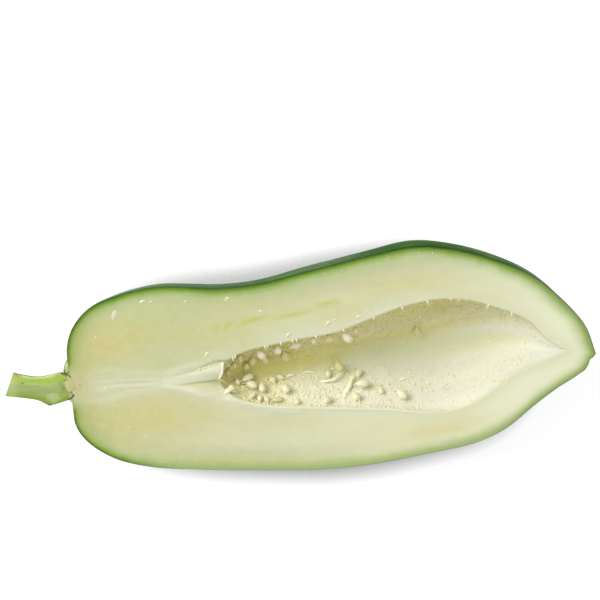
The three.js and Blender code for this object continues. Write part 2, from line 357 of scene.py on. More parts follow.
def closed_faces(rows, columns):
    """Faces of rings whose first and last are closed by two more points that come after them."""
    start, end, last_row = rows * columns, rows * columns + 1, (rows - 1) * columns
    faces = [tuple(face) for face in ring_faces(rows, columns)]
    for index in range(columns):
        following = (index + 1) % columns
        faces += [(start, index, following), (end, last_row + following, last_row + index)]
    return faces


def new_object(name, data):
    """Puts a mesh, a lamp or a camera in the scene."""
    thing = bpy.data.objects.new(name, data)
    bpy.context.scene.collection.objects.link(thing)
    return thing


def new_piece(name, mesh, materials, nodes=()):
    """Puts a mesh in the scene as a finished piece that rides on the fruit."""
    for material in materials:
        mesh.materials.append(material)
    piece = new_object(name, mesh)
    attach(piece, BODY)
    if nodes:
        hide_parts(*nodes)


def new_mesh(name, points, faces):
    mesh = bpy.data.meshes.new(name)
    mesh.from_pydata([tuple(p) for p in points], [], [tuple(int(i) for i in face) for face in faces])
    mesh.shade_smooth()
    return mesh


def write_attribute(mesh, name, values):
    attribute = mesh.attributes.new(name, "FLOAT", "POINT")
    attribute.data.foreach_set("value", np.asarray(values, np.float32).ravel())


def outward(mesh, weld=None):
    """Welds points that coincide and turns every face outward."""
    work = bmesh.new()
    work.from_mesh(mesh)
    if weld is not None:
        bmesh.ops.remove_doubles(work, verts=work.verts, dist=weld)
    bmesh.ops.recalc_face_normals(work, faces=work.faces)
    work.to_mesh(mesh)
    work.free()


# A direction that no path runs along, which keeps a tube's rings from twisting.
TUBE_UP = np.array([0.13, 0.21, 0.97])


def tube(points, radii, sides=8, flatten=1.0):
    """Rings round a path, closed at both ends: points and faces of a round or flattened tube."""
    points = np.asarray(points, float)
    radii = np.broadcast_to(np.asarray(radii, float), (len(points),))
    ways = np.gradient(points, axis=0)
    ways /= np.linalg.norm(ways, axis=1, keepdims=True)
    side = np.cross(ways, TUBE_UP)
    side /= np.linalg.norm(side, axis=1, keepdims=True)
    other = np.cross(side, ways)
    angle = np.linspace(0, 2 * math.pi, sides, endpoint=False)
    rings = (points[:, None] + radii[:, None, None] * (
        side[:, None] * np.cos(angle)[None, :, None]
        + other[:, None] * np.sin(angle)[None, :, None] * flatten))
    shape = np.vstack([rings.reshape(-1, 3), points[:1], points[-1:]])
    return shape, closed_faces(len(points), sides)


def end_taper(count, thinnest):
    """Shares of a strand's thickness: thinnest at both ends, whole a few points in."""
    from_end = np.minimum(np.arange(count), np.arange(count)[::-1])
    return np.minimum(1, from_end / 3 + thinnest)


class Gathered:
    """Collects small closed shapes into one mesh."""

    def __init__(self):
        self.points = []
        self.faces = []
        self.values = []
        self.count = 0

    def add(self, points, faces, value=0.0):
        self.points.append(np.asarray(points, float))
        self.faces.extend(tuple(int(index) + self.count for index in face) for face in faces)
        self.values.append(np.broadcast_to(np.asarray(value, float), (len(points),)))
        self.count += len(points)

    def mesh(self, name, attribute="tone"):
        mesh = new_mesh(name, placed(np.vstack(self.points)), self.faces)
        write_attribute(mesh, attribute, np.concatenate(self.values))
        outward(mesh)
        return mesh


# ------------------------------------------------------------------ materials

def linear(colour):
    """A colour as seen on a screen, in the renderer's own linear terms."""
    parts = [c / 12.92 if c <= 0.04045 else ((c + 0.055) / 1.055) ** 2.4 for c in colour[:3]]
    return (*parts, 1.0)


class Nodes:
    """A node tree, with short calls for the nodes it is made of."""

    def __init__(self, tree):
        self.tree = tree

    def node(self, kind, inputs=(), **settings):
        node = self.tree.nodes.new("ShaderNode" + kind)
        for key, value in settings.items():
            setattr(node, key, value)
        for key, value in dict(inputs).items():
            self.set(node.inputs[key], value)
        return node

    def set(self, socket, value):
        if isinstance(value, bpy.types.NodeSocket):
            self.tree.links.new(value, socket)
        else:
            socket.default_value = value

    def attribute(self, name):
        return self.node("Attribute", attribute_name=name).outputs["Fac"]

    def place(self, stretch=(1, 1, 1)):
        """The point in the object's own metres, divided by the stretch along each axis."""
        coordinates = self.node("TexCoord").outputs["Object"]
        scale = [1 / s for s in stretch]
        return self.node("Mapping", {"Vector": coordinates, "Scale": scale}).outputs["Vector"]

    def noise(self, size, detail=2.0, roughness=0.5, stretch=(1, 1, 1), distortion=0.0):
        """Cloudy noise about 0.5; size is that of its lumps in millimetres."""
        inputs = {"Vector": self.place(stretch), "Scale": 1 / (size * MM), "Detail": detail,
                  "Roughness": roughness, "Distortion": distortion}
        return self.node("TexNoise", inputs).outputs["Fac"]

    def cloud(self, size, detail=2.0, low=0.3, high=0.7, to=(0, 1), **noise):
        """Noise whose range from low to high is carried to another."""
        return self.span(self.noise(size, detail, **noise), low, high, *to)

    def cells(self, size):
        """Distance to the nearest of scattered points, in shares of their spacing in millimetres."""
        inputs = {"Vector": self.place(), "Scale": 1 / (size * MM)}
        return self.node("TexVoronoi", inputs).outputs["Distance"]

    def span(self, value, low, high, to_low=0.0, to_high=1.0):
        """Carries a value's range to another, smoothly and clamped."""
        inputs = {"Value": value, "From Min": low, "From Max": high, "To Min": to_low, "To Max": to_high}
        return self.node("MapRange", inputs, interpolation_type="SMOOTHSTEP").outputs["Result"]

    def math(self, operation, first, second=0.0, third=0.0):
        node = self.node("Math", operation=operation)
        for socket, value in zip(node.inputs, (first, second, third)):
            self.set(socket, value)
        return node.outputs["Value"]

    def plus(self, first, second):
        return self.math("ADD", first, second)

    def times(self, first, second):
        return self.math("MULTIPLY", first, second)

    def mix(self, share, first, second):
        node = self.node("Mix", data_type="RGBA")
        self.set(node.inputs["Factor"], share)
        colours = [socket for socket in node.inputs if socket.type == "RGBA"]
        self.set(colours[0], first)
        self.set(colours[1], second)
        return next(socket for socket in node.outputs if socket.type == "RGBA")

    def lay(self, under, paint, share, strength=None):
        """A paint laid over a colour where the share, times any strength, is above 0."""
        if strength is not None:
            share = self.times(share, strength)
        return self.mix(share, under, linear(paint))

    def ramp(self, value, stops, reach=1):
        """Paints at places from 0 to the reach."""
        if reach != 1:
            value = self.math("DIVIDE", value, reach)
        node = self.node("ValToRGB", {"Fac": value})
        elements = node.color_ramp.elements
        while len(elements) < len(stops):
            elements.new(0.5)
        for element, (place, paint) in zip(elements, stops):
            element.position = place / reach
            element.color = linear(paint)
        return node.outputs["Color"]

    def bump(self, height, distance):
        """Fine relief; distance is its height in millimetres."""
        return self.node("Bump", {"Height": height, "Distance": distance * MM}).outputs["Normal"]

    def seen(self):
        """1 for the camera's own rays and for those that gloss and glass pass on to it."""
        rays = self.node("LightPath").outputs
        seen = self.math("MAXIMUM", rays["Is Camera Ray"], rays["Is Glossy Ray"])
        return self.math("MAXIMUM", seen, rays["Is Transmission Ray"])


class Shader(Nodes):
    """A material, built round its Principled shader."""

    def __init__(self, name):
        self.material = bpy.data.materials.new(name)
        self.material.use_nodes = True
        super().__init__(self.material.node_tree)
        self.surface = self.tree.nodes["Principled BSDF"]

    def finish(self, **values):
        for key, value in values.items():
            self.set(self.surface.inputs[key.replace("_", " ")], value)
        return self.material


def colour_property(name, description, default):
    return bpy.props.FloatVectorProperty(
        name=name, description=description, default=default, size=3,
        min=0, max=1, subtype="COLOR_GAMMA")


def share_property(name, description, default, high=1.0):
    return bpy.props.FloatProperty(
        name=name, description=description, default=default, min=0, max=high, subtype="FACTOR")


def length_property(name, description, default):
    return bpy.props.FloatProperty(
        name=name, description=description, default=default, min=0, unit="LENGTH", precision=5)


# ------------------------------------------------------------------ settings

class PapayaFleshSettings(bpy.types.PropertyGroup):
    """Colours and wetness of the cut flesh and of the hollow's wall."""

    edge: colour_property("Edge", "Flesh right under the skin", (0.10, 0.25, 0.0))
    rind: colour_property("Rind", "Flesh 1 mm inside the skin", (0.385, 0.535, 0.07))
    green: colour_property("Green flesh", "Flesh 3 mm inside the skin", (0.65, 0.735, 0.43))
    soft_green: colour_property("Soft green flesh", "Flesh 5 mm inside the skin", (0.745, 0.80, 0.575))
    pale: colour_property("Pale flesh", "Flesh 10 mm inside the skin", (0.81, 0.82, 0.65))
    heart: colour_property("Heart flesh", "Flesh far from the skin", (0.865, 0.87, 0.71))
    # Shoulder and tip flesh: partly the flesh's own colour, partly painted light and shade, darker toward the
    # stem end and paler toward the wide end.
    shoulder: colour_property("Shoulder flesh", "Heart flesh by the stem end", (0.785, 0.81, 0.59))
    tip: colour_property("Tip flesh", "Heart flesh in the wide end and the tip", (0.955, 0.965, 0.835))
    white: colour_property("Core", "Whitish core along the heart", (0.835, 0.835, 0.68))
    strand: colour_property("Strand", "Whitest strands and torn edges", (0.93, 0.935, 0.85))
    warm: colour_property("Warm patch", "Yellowish patches in the shoulders", (0.85, 0.80, 0.515))
    vein: colour_property("Vein", "Greenish-yellow vein in the flesh", (0.775, 0.805, 0.40))
    wall: colour_property("Hollow wall", "Lining of the seed hollow", (0.945, 0.935, 0.83))
    wall_tip: colour_property("Wide-end wall", "Lining in the hollow's wide end", (0.88, 0.88, 0.825))
    # Painted light on the wide end's upper wall, which lies in the key lamp's shadow; the same colour makes
    # the wall paler toward the lower lip.
    wall_top: colour_property("Wide-end top", "Lining above the wide end's groove", (0.975, 0.97, 0.90))
    # The groove's own greenish colour, painted darker as shade where the shaded upper wall meets the lit
    # lower wall.
    groove: colour_property("Groove", "Smooth greenish band of the lining", (0.875, 0.885, 0.735))
    # Painted shade: the deeper yellow laid where the upper lip and the narrow end shade the lining.
    wall_shade_colour: colour_property("Deep wall", "Lining under the upper lip and narrow end", (0.855, 0.825, 0.45))
    wetness: share_property("Wetness", "Strength of the wet film on the cut", 0.12)
    translucency: share_property("Translucency", "Light carried through the flesh", 0.25)


class PapayaSkinSettings(bpy.types.PropertyGroup):
    """Colours of the green skin and its waxy bloom."""

    green: colour_property("Green", "Main green of the skin", (0.15, 0.34, 0.05))
    dark: colour_property("Dark green", "Darker mottling", (0.09, 0.235, 0.03))
    light: colour_property("Light green", "Paler lengthwise patches", (0.26, 0.48, 0.09))
    bloom: colour_property("Bloom", "Greyish wax on the skin", (0.19, 0.33, 0.12))
    relief: length_property("Relief", "Height of the skin's soft unevenness", 0.0005)


class PapayaStemSettings(bpy.types.PropertyGroup):
    """Colours of the cut stem."""

    pith: colour_property("Pith", "Greyish middle of the cut stem", (0.63, 0.70, 0.44))
    green: colour_property("Green band", "Green tissue beside the pith", (0.60, 0.73, 0.26))
    skin: colour_property("Stem skin", "Outside of the stem", (0.52, 0.64, 0.26))
    tan: colour_property("Dried edge", "Dried brown at the cut end", (0.72, 0.58, 0.33))
    scar: colour_property("Scar", "Dark corky scars at the joint", (0.24, 0.21, 0.08))


class PapayaSeedSettings(bpy.types.PropertyGroup):
    """Colours of the unripe seeds and what holds them."""

    ivory: colour_property("Ivory seed", "Filled unripe seeds", (0.955, 0.94, 0.81))
    # Partly painted shade: the translucent seeds that lie in shade get this yellower colour.
    glassy: colour_property("Glassy seed", "Translucent empty seeds", (0.97, 0.94, 0.69))
    thread: colour_property("Thread", "Threads that hold the seeds", (0.985, 0.97, 0.85))
    stub: colour_property("Stub", "Tiny seed buds on the ridges", (0.965, 0.925, 0.65))
    vein_height: length_property("Vein height", "Height of the lengthwise veins", 0.0001)


class PapayaStageSettings(bpy.types.PropertyGroup):
    """Floor, lamps and surroundings."""

    floor: colour_property("Floor", "Colour of the floor", (0.97, 0.97, 0.97))
    shadow: share_property("Shadow", "How much of the floor's brightness its shadows take away", 0.5)
    key: share_property("Key light", "Share of the light from the main lamp", 0.75, 2)
    fill: share_property("Fill light", "Share of the light from the front lamp", 0.10, 2)
    sky: share_property("Surroundings", "Share of the light from all round", 0.48, 2)
    lens: bpy.props.FloatProperty(
        name="Lens", description="Focal length of the camera", default=85, min=1, unit="CAMERA")


# ------------------------------------------------------------------ the fruit

# Slits that open into the hollow's narrow end: the upper edge from its closed end in the cut
# plane, then depth and width of the slope below it at its open end.
SLITS = [
    ([(-88, 1.2), (-79.9, 3.4), (-71.7, 5.6), (-67.9, 6.8), (-63.8, 8.3), (-60.5, 9.0), (-56.7, 9.2)],
     1.1, 4.5),
    ([(-88, -3.0), (-79.7, -2.4), (-70.3, -1.7), (-60.6, -1.5), (-58.0, -1.3)], 1.8, 8.0),
]
# Depth below the cut to which slits and dents are carried down the hollow's wall.
SLIT_CARRY = 9
# Soft dents and swellings of the face: centre, reach, rise.
DENTS = [
    ((-57.5, -5.5), (6, 5.0), -2.4), ((-66, 3.4), (9, 3.4), 0.55), ((-65, -8.6), (7, 2.2), 0.55),
    ((-102, 1.0), (16, 3.0), -0.15), ((-110, 36.5), (5, 3.0), -0.25), ((-70, 11.5), (9, 2.5), 0.15),
]
# Fibrous strands in the face: line, width, height, whiteness.
STRANDS = [
    ([(-98, -0.6), (-88.7, -2.6), (-82, -4.2), (-75.8, -6.0), (-70.9, -8.4), (-59.6, -11.3),
      (-50, -14.6), (-40, -18.0), (-28, -20.4), (-12, -22.6)], 1.5, 0.30, 0.95),
    ([(-100, 1.6), (-88, 3.8), (-80, 6.0), (-72, 8.4), (-62, 11.0), (-50, 13.6)], 1.7, 0.10, 0.5),
    ([(-132, -2.0), (-118, -1.4), (-104, -1.0), (-84, -1.8)], 1.6, 0.05, 0.55),
    ([(-133, 1.4), (-116, 2.4), (-104, 2.0), (-84, 1.2)], 1.4, 0.05, 0.45),
    ([(-134, 6.5), (-118, 7.6), (-104, 5.8), (-82, 3.0)], 2.2, 0.05, 0.35),
    ([(-134, -9.5), (-116, -6.8), (-102, -4.6), (-82, -3.0)], 1.8, 0.05, 0.42),
]
# Fine creases in the face: line, width, depth.
CREASES = [
    ([(-124, -0.2), (-112, 0.2), (-98, -0.2), (-88, 0.6)], 0.5, 0.10),
    ([(-120, -4.6), (-108, -3.4), (-96, -2.4), (-88, -2.8)], 0.5, 0.10),
    ([(-92, -1.2), (-84, -2.0), (-77, -2.2)], 0.4, 0.16),
]
# Lines that carry whiteness or colour over the face: a tongue of lining, the core and a vein.
TONGUE = [(-88, 0.2), (-80, 0.9), (-72, 2.2), (-64, 4.0), (-59, 4.8)]
CORE = [(-137, -1.0), (-120, 0.0), (-104, 0.6), (-91, 0.4), (-80, 0.2)]
VEIN = [
    (-74, 24.6), (-67.8, 25.7), (-53, 28.0), (-38.5, 30.0), (-21, 31.6), (-10, 33.6), (-2.2, 35.3), (4, 36.0),
]
# Yellowish patches of the flesh: centre, reach, strength.
WARM_PATCHES = [
    ((-116, 24), (26, 11), 0.85), ((-98, -19), (34, 11), 1.0), ((-72, 24), (24, 7), 0.45),
    ((-40, 41), (28, 8), 0.35), ((52, -38), (34, 9), 0.55), ((-128, 12), (9, 8), 0.5),
    ((-110, -34), (16, 9), 0.45), ((38, 42), (26, 7), 0.55), ((8, 30), (16, 6), 0.35),
    ((-30, -26), (30, 5), 0.35), ((84, 34), (14, 5), 0.25),
]

# Painted shade on the upper wall, a deeper yellow where the upper lip shades it: place along the
# fruit, degrees where the shade ends and where the lit, pale wall starts, and the share of the shade colour.
UPPER_WALL_SHADE = [
    (-60, 114, 128, 0.60), (-44, 111, 126, 0.74), (-23, 102, 122, 0.78), (-7, 90, 117, 0.70),
    (9, 76, 112, 0.66), (26, 76, 106, 0.66), (42, 76, 104, 0.66), (58, 70, 100, 0.66),
    (74, 56, 92, 0.62), (89, 46, 74, 0.56), (100, 36, 56, 0.50),
]
# Crease under the upper wall's ledge: place along the fruit, degrees of the crease and of the ledge.
CREASE_ANGLE = [
    (-50, 78, 60), (-23, 73, 58), (-6, 67, 54), (10, 80, 62), (26, 83, 66), (42, 88, 72), (59, 78, 64),
    (74, 65, 50), (90, 58, 42),
]
# Degrees round the hollow where its wall is bumpy with seed buds, and of the crease in its lower wall.
BUMPY_RIDGES = (-2, 70, 142)
LOWER_CREASE = 142
# Where the flesh runs on into the stem with no skin between: centre, and how deep it counts as lying.
JOINT = (-138, 1)
JOINT_DEPTH = 14
# How finely the hollow's wall is worked out for what lies on it.
WALL_GRID = (260, 120)


def section_shares():
    """Where the fruit's sections lie, as shares of its length and of the hollow's."""
    fine = np.linspace(0.05, 1, 4000)
    middle_x = section(body_upper, body_lower, body_keel, fine)[0][:, 0]
    shares, start = [np.zeros(1)], 0.0
    marks = {}
    for place, spacing in SECTION_SPACING:
        end = float(np.interp(place, middle_x, fine))
        if place == TIP[0]:
            end = 1.0
        count = max(2, round((end - start) * body_upper.length / spacing))
        shares.append(np.linspace(start, end, count + 1)[1:])
        marks[place] = sum(len(part) for part in shares) - 1
        start = end
    shares = np.concatenate(shares)
    first, last = marks[HOLLOW_START], marks[HOLLOW_END]
    x = section(body_upper, body_lower, body_keel, shares)[0][:, 0]
    inside = np.clip((x - x[first]) / (x[last] - x[first]), 0, 1)
    return shares, inside, first, last


def heart_line(shares, first, last):
    """The line in the cut plane that carries the hollow's ends on to the stem and the tip."""
    middle = section(body_upper, body_lower, body_keel, shares)[0]
    start = hollow_upper.points[0] - middle[first]
    end = hollow_upper.points[-1] - middle[last]
    near_start = smooth_step(shares / shares[first])[:, None]
    near_end = smooth_step((1 - shares) / (1 - shares[last]))[:, None]
    index = np.arange(len(shares))[:, None]
    return middle + np.where(index <= (first + last) / 2, start * near_start, end * near_end)


def face_rows(inner, outer):
    """Points across the cut face, closer together at the lip and at the skin."""
    width = np.linalg.norm(outer - inner, axis=-1)
    scale = np.minimum(1, width / NARROW_FACE)
    lip = np.array(LIP_ROWS)[None] * scale[:, None]
    rind = width[:, None] - np.array(RIND_ROWS)[None, ::-1] * scale[:, None]
    share = np.linspace(0, 1, MIDDLE_ROWS + 2)[None, 1:-1]
    middle = lip[:, -1:] * (1 - share) + rind[:, :1] * share
    distance = np.concatenate([lip, middle, rind], axis=1)
    way = (outer - inner) / np.maximum(width, 1e-9)[:, None]
    rows = inner[:, None] + way[:, None] * distance[..., None]
    rows[:, -1] = outer
    return rows


def slit_relief(points, line, deepest, widest):
    """A slit's sharp upper edge and the slope that climbs from it toward the lower edge."""
    line = catmull_rom(line, 8)
    x, y = points[..., 0], points[..., 1]
    edge = np.interp(x, line[:, 0], line[:, 1])
    opened = (x - line[0, 0]) / (line[-1, 0] - line[0, 0])
    past_end = 1 - smooth_step((opened - 1) * 12)
    opened = np.clip(opened, 0, 1)
    below = edge - y
    width = 0.8 + (widest - 0.8) * opened
    profile = smooth_step((below + 0.3) / 1.0) * (1 - smooth_step(below / width))
    return -deepest * opened**1.2 * profile * past_end


def sunken(points):
    """How far slits and dents take the cut face below its plane."""
    height = np.zeros(points.shape[:-1])
    for line, deepest, widest in SLITS:
        height = np.minimum(height, slit_relief(points, line, deepest, widest))
    for centre, reach, rise in DENTS:
        height = height + rise * patch(points, centre, reach)
    return height


def face_relief(points, lip_distance, rind_distance):
    """Height of the cut face above its plane: knife waves, slits, strands and rolled edges."""
    x, y = points[..., 0], points[..., 1]
    height = 0.20 * noise(points, (34, 18, 50), 3) + 0.06 * noise(points, (14, 5, 50), 5)
    height = height * rising(rind_distance, 0, 6)
    height -= 0.22 * band(rind_distance, 0, 0.35)
    below = falling(y, 0, 4)
    soft = 1 - below * rising(x, 36, 22)
    height -= (0.08 + 0.16 * soft * (1 - below)) * band(lip_distance, 0, 0.40)
    lower = below * rising(x, -62, 10)
    height += (0.08 + 0.20 * lower) * soft * band(lip_distance, 0.9, 0.7)
    for line, width, rise, _ in STRANDS:
        height += rise * strand(points, line, width)
    for line, width, depth in CREASES:
        height -= depth * strand(points, line, width)
    return height + sunken(points)


def face_height(x, y):
    """Height of the cut face at one place in its plane."""
    point = np.array([[x, y, 0.0]])
    relief = face_relief(point, distance_to(point, LIPS), distance_to(point, OUTLINE))
    return float(relief[0])


def along_wall(x, table, column):
    """A value of a table that runs along the hollow, whose first column is the place."""
    table = np.array(table, float)
    return np.interp(x, table[:, 0], table[:, column + 1])


def hollow_relief(points, share, around):
    """How far the hollow's wall stands in from its smooth form."""
    x, degrees = points[..., 0], 180 * around
    fade = smooth_step(np.minimum(around, 1 - around) / 0.06)
    fade = fade * smooth_step(np.minimum(share, 1 - share) / 0.03)
    bumpy = largest(*(band(degrees, ridge, 22) for ridge in BUMPY_RIDGES))
    rise = 0.35 * noise(points, (9, 6, 6), 11) + bumpy * (
        0.35 * noise(points, (3.4, 2.6, 2.6), 12) + 0.18 * noise(points, 1.5, 13))
    for middle, strength, seed in ((along_wall(x, CREASE_ANGLE, 0), 1.0, 84), (LOWER_CREASE, 0.45, 156)):
        offset = degrees - middle - 2.0 * noise(points, (26, 400, 400), seed)
        strength = strength * (1 - rising(x, 70, 26))
        rise = rise - 0.9 * strength * band(offset, 0, 3.6) + 0.6 * strength * band(offset, -11, 6)
    return rise * fade


def hollow_shape(smooth, share, around, solid=None):
    """The hollow's finished wall: ridges and crease, and the slits carried down from its lip."""
    rise = hollow_relief(smooth, share, around)
    if solid is not None:
        rise[solid] = 0
    shape = smooth + section_normals(smooth) * rise[..., None]
    shape[..., 2] += sunken(smooth) * np.clip(1 + smooth[..., 2] / SLIT_CARRY, 0, 1)
    return shape


class Wall:
    """The hollow's finished wall, read where something lies on it."""

    def __init__(self):
        self.around = np.linspace(0, 1, WALL_GRID[1])
        share, around = np.meshgrid(np.linspace(0, 1, WALL_GRID[0]), self.around, indexing="ij")
        smooth = hollow_point(share, around)
        self.inward = section_normals(smooth)
        self.points = hollow_shape(smooth, share, around)

    def at(self, along, degrees):
        """Point and inward direction at a place along the fruit and degrees from its upper lip."""
        column = np.abs(self.around - degrees / 180).argmin()
        row = np.abs(self.points[:, column, 0] - along).argmin()
        return self.points[row, column], self.inward[row, column]

    def nearest(self, point):
        gaps = ((self.points - point) ** 2).sum(axis=-1)
        place = np.unravel_index(gaps.argmin(), gaps.shape)
        return self.points[place], self.inward[place]


def notched(points):
    """Points moved in where the fallen blossom left its notch."""
    depth = sum(depth * patch(points, centre, reach) for centre, reach, depth in BLOSSOM_NOTCH)
    return points - NOTCH_WAY * depth[..., None]


# Relief of the skin, in metres, at which its unevenness has its plain height.
PLAIN_RELIEF = 0.5 * MM


def skin_relief(points, edge_distance):
    """How far the skin stands out from its smooth form."""
    rise = 0.7 * noise(points, (46, 30, 30), 21) + 0.22 * noise(points, (60, 9, 9), 22)
    rise = rise + 0.06 * noise(points, (5, 4, 4), 23)
    return rise * rising(edge_distance, 0, 5)


def edge_distances(skin):
    """How far each point of the skin lies from the cut, along the skin."""
    steps = np.linalg.norm(np.diff(skin, axis=1), axis=-1)
    from_upper = np.concatenate([np.zeros((len(skin), 1)), np.cumsum(steps, axis=1)], axis=1)
    return np.minimum(from_upper, from_upper[:, -1:] - from_upper)


def depth_under_skin(points, reach):
    """Distance in the cut from the skin, which counts as far where the stem joins."""
    return distance_to(points, OUTLINE) + JOINT_DEPTH * patch(points, JOINT, reach)


def fruit_grid(relief):
    """Rings of points round the whole fruit, and for each point the surface it is on, its depth
    under the skin and its degrees round the hollow."""
    shares, inside, first, last = section_shares()
    around_hollow = np.linspace(0, 1, HOLLOW_ROWS + 1)
    skin = skin_point(*np.meshgrid(shares, np.linspace(0, 1, SKIN_ROWS + 1), indexing="ij"))
    inside_grid, around_grid = np.meshgrid(inside, around_hollow, indexing="ij")
    smooth = hollow_point(inside_grid, around_grid)
    index = np.arange(len(shares))
    solid = (index <= first) | (index >= last)
    smooth[solid] = heart_line(shares, first, last)[solid][:, None]

    upper = face_rows(smooth[:, 0], skin[:, 0])
    lower = face_rows(smooth[:, -1], skin[:, -1])
    for rows in (upper, lower):
        rows[..., 2] += face_relief(rows, distance_to(rows, LIPS), depth_under_skin(rows, (5, 7.5)))
    lower = notched(lower)

    from_edge = edge_distances(skin)
    rise = skin_relief(skin, from_edge) * relief
    skin = notched(skin + section_normals(skin, inward=False) * rise[..., None])
    skin[:, 0], skin[:, -1] = upper[:, -1], lower[:, -1]
    hollow = hollow_shape(smooth, inside_grid, around_grid, solid)
    hollow[:, 0], hollow[:, -1] = upper[:, 0], lower[:, 0]
    hollow[solid] = upper[solid][:, :1]
    lower[solid, 0] = upper[solid, 0]

    ring = np.concatenate([skin, lower[:, -2::-1], hollow[:, -2::-1], upper[:, 1:-1]], axis=1)
    lower_rows, upper_rows = lower.shape[1] - 1, upper.shape[1] - 1
    kinds = np.repeat([0, 1, 2, 1], [SKIN_ROWS, lower_rows, HOLLOW_ROWS, upper_rows])
    degrees = np.concatenate([
        np.zeros(SKIN_ROWS + 1), np.full(lower_rows, 180.0), 180 * around_hollow[-2::-1],
        np.zeros(upper_rows - 1)])

    depth = depth_under_skin(ring * np.array([1, 1, 0]), (7, 7.5))
    lower_side = falling(ring[..., 1], 0, 12)
    depth = depth * (1 + (0.28 * lower_side - 0.08) * rising(ring[..., 0], 75, 30))
    depth[:, :SKIN_ROWS + 1] = from_edge
    return ring, kinds, depth, np.broadcast_to(degrees, depth.shape)


def paint_flesh(ring, depth):
    """Values over the fruit that the materials of the skin and the flesh read."""
    x, y = ring[..., 0], ring[..., 1]
    to_lip = distance_to(ring, LIPS)
    core_line, vein_line = catmull_rom(CORE, 8), catmull_rom(VEIN, 8)

    core = largest(
        0.95 * beside(ring, core_line, 8.0), 0.5 * band(to_lip, 0, 5.0),
        0.4 * patch(ring, (-84, 13), (34, 9)),
        *(0.8 * white * strand(ring, line, 2.6 * width) for line, width, _, white in STRANDS))
    upper_lip = rising(y, 0, 4) * rising(x, -44, 24) * falling(x, 70, 24) * band(to_lip, 0, 6.0)
    lower_lip = falling(y, 0, 4) * rising(x, -44, 24) * falling(x, 64, 30) * band(to_lip, 0, 4.5)
    lip_edge = falling(y, 0, 4) * rising(x, -56, 10) * falling(x, 60, 24) * band(to_lip, 0.6, 0.6)
    whitest = largest(
        0.85 * beside(ring, catmull_rom(TONGUE, 8), 3.6), 0.8 * patch(ring, (-64, -8.8), (6, 2.6)),
        0.5 * upper_lip, 0.45 * lower_lip, lip_edge,
        *(white * strand(ring, line, 1.25 * width) for line, width, _, white in STRANDS))

    vein = beside(ring, vein_line, 0.9) + 0.3 * beside(ring, vein_line, 2.6)
    lower_side = falling(y, 6.4, 16)
    lower_rim = falling(y, 2.8, 14) * rising(x, -122, 42) * (1 - 0.35 * rising(x, 75, 30))
    slits = (-slit_relief(ring, line, 1.0, 0.6 * widest) for line, _, widest in SLITS)
    return {
        "rind": depth,
        "core": core,
        "strand": whitest,
        "vein": vein * rising(x, -74, 26),
        "warm": largest(*(strength * patch(ring, centre, reach) for centre, reach, strength in WARM_PATCHES)),
        "slit": largest(*slits),
        "pale_rim": largest(lower_rim, 0.5 * rising(x, 85, 35)),
        "olive": falling(x, -112, 22) * (1 - beside(ring, core_line, 9.0)),
        # Partly the flesh's own colour, partly painted light and shade: darker toward the stem end and the
        # upper side, paler toward the wide end and the lower side.
        "shoulder": falling(x, -10 - 45 * lower_side, 80),
        "wide_end": (1 - lower_side) * rising(x, 30, 95) + lower_side * rising(x, -70, 170),
        "joint": patch(ring, (-134.5, 1.5), (6.5, 7.5)),
    }


def paint_wall(x, degrees):
    """Values over the hollow's wall that its material reads."""
    shade_end, lit_start, share = (along_wall(x, UPPER_WALL_SHADE, column) for column in range(3))
    crease, ledge = (along_wall(x, CREASE_ANGLE, column) for column in range(2))
    # Painted shade down the upper wall to where the lit wall starts, eased on the lit ledge and darkened a
    # little in the crease.
    upper_wall = share * (1 - rising(degrees, shade_end, lit_start - shade_end))
    upper_wall = upper_wall * (1 - 0.35 * band(degrees, ledge, 7) * rising(x, -20, 20))
    upper_wall = upper_wall + 0.06 * band(degrees, crease, 5) * falling(x, 84, 20)
    # Painted shade in the narrow end and in the band just under the upper lip.
    narrow_end = (0.85 - 0.25 * falling(x, -44, 12)) * falling(x, -18, 34)
    narrow_end = narrow_end * (1 - 0.55 * rising(degrees, 112, 45))
    under_lip = band(degrees, 0, 26) * falling(x, 114, 20)
    # Painted light on the wide end's upper wall, which the key lamp leaves in shade.
    painted_light_tip = rising(x, 80, 14) * falling(x, 116, 14) * (1 - rising(degrees, 80, 50))
    lower_lip = rising(degrees, 150, 22) * rising(x, -30, 30) * falling(x, 96, 30)
    return {
        "painted_shade": np.clip(largest(0.88 * under_lip, upper_wall, narrow_end), 0, 1),
        # Greenish groove band: partly its own colour, partly painted shade where the shaded and lit wall
        # meet.
        "groove": band(degrees, 99, 14) * falling(x, 112, 24),
        "pale_wall": largest(0.35 * painted_light_tip, 0.65 * lower_lip),
    }


def fruit_mesh(settings):
    ring, kinds, depth, degrees = fruit_grid(settings.relief / PLAIN_RELIEF)
    rows, columns = ring.shape[:2]
    points = placed(ring).reshape(-1, 3)
    points[:, 2] = np.maximum(points[:, 2], 0)
    points = np.vstack([points, points[:columns].mean(axis=0)])
    stem_end = [(rows * columns, (index + 1) % columns, index) for index in range(columns)]
    mesh = new_mesh("fruit", points, [*ring_faces(rows, columns), *stem_end])
    face_kinds = np.append(np.tile(kinds, rows - 1), np.zeros(columns, int))
    mesh.polygons.foreach_set("material_index", face_kinds)
    values = paint_flesh(ring, depth) | paint_wall(ring[..., 0], degrees)
    for name, value in values.items():
        write_attribute(mesh, name, np.append(value.ravel(), value[0].mean()))
    outward(mesh, weld=2e-6)
    mesh.set_sharp_from_angle(angle=math.radians(50))
    return mesh


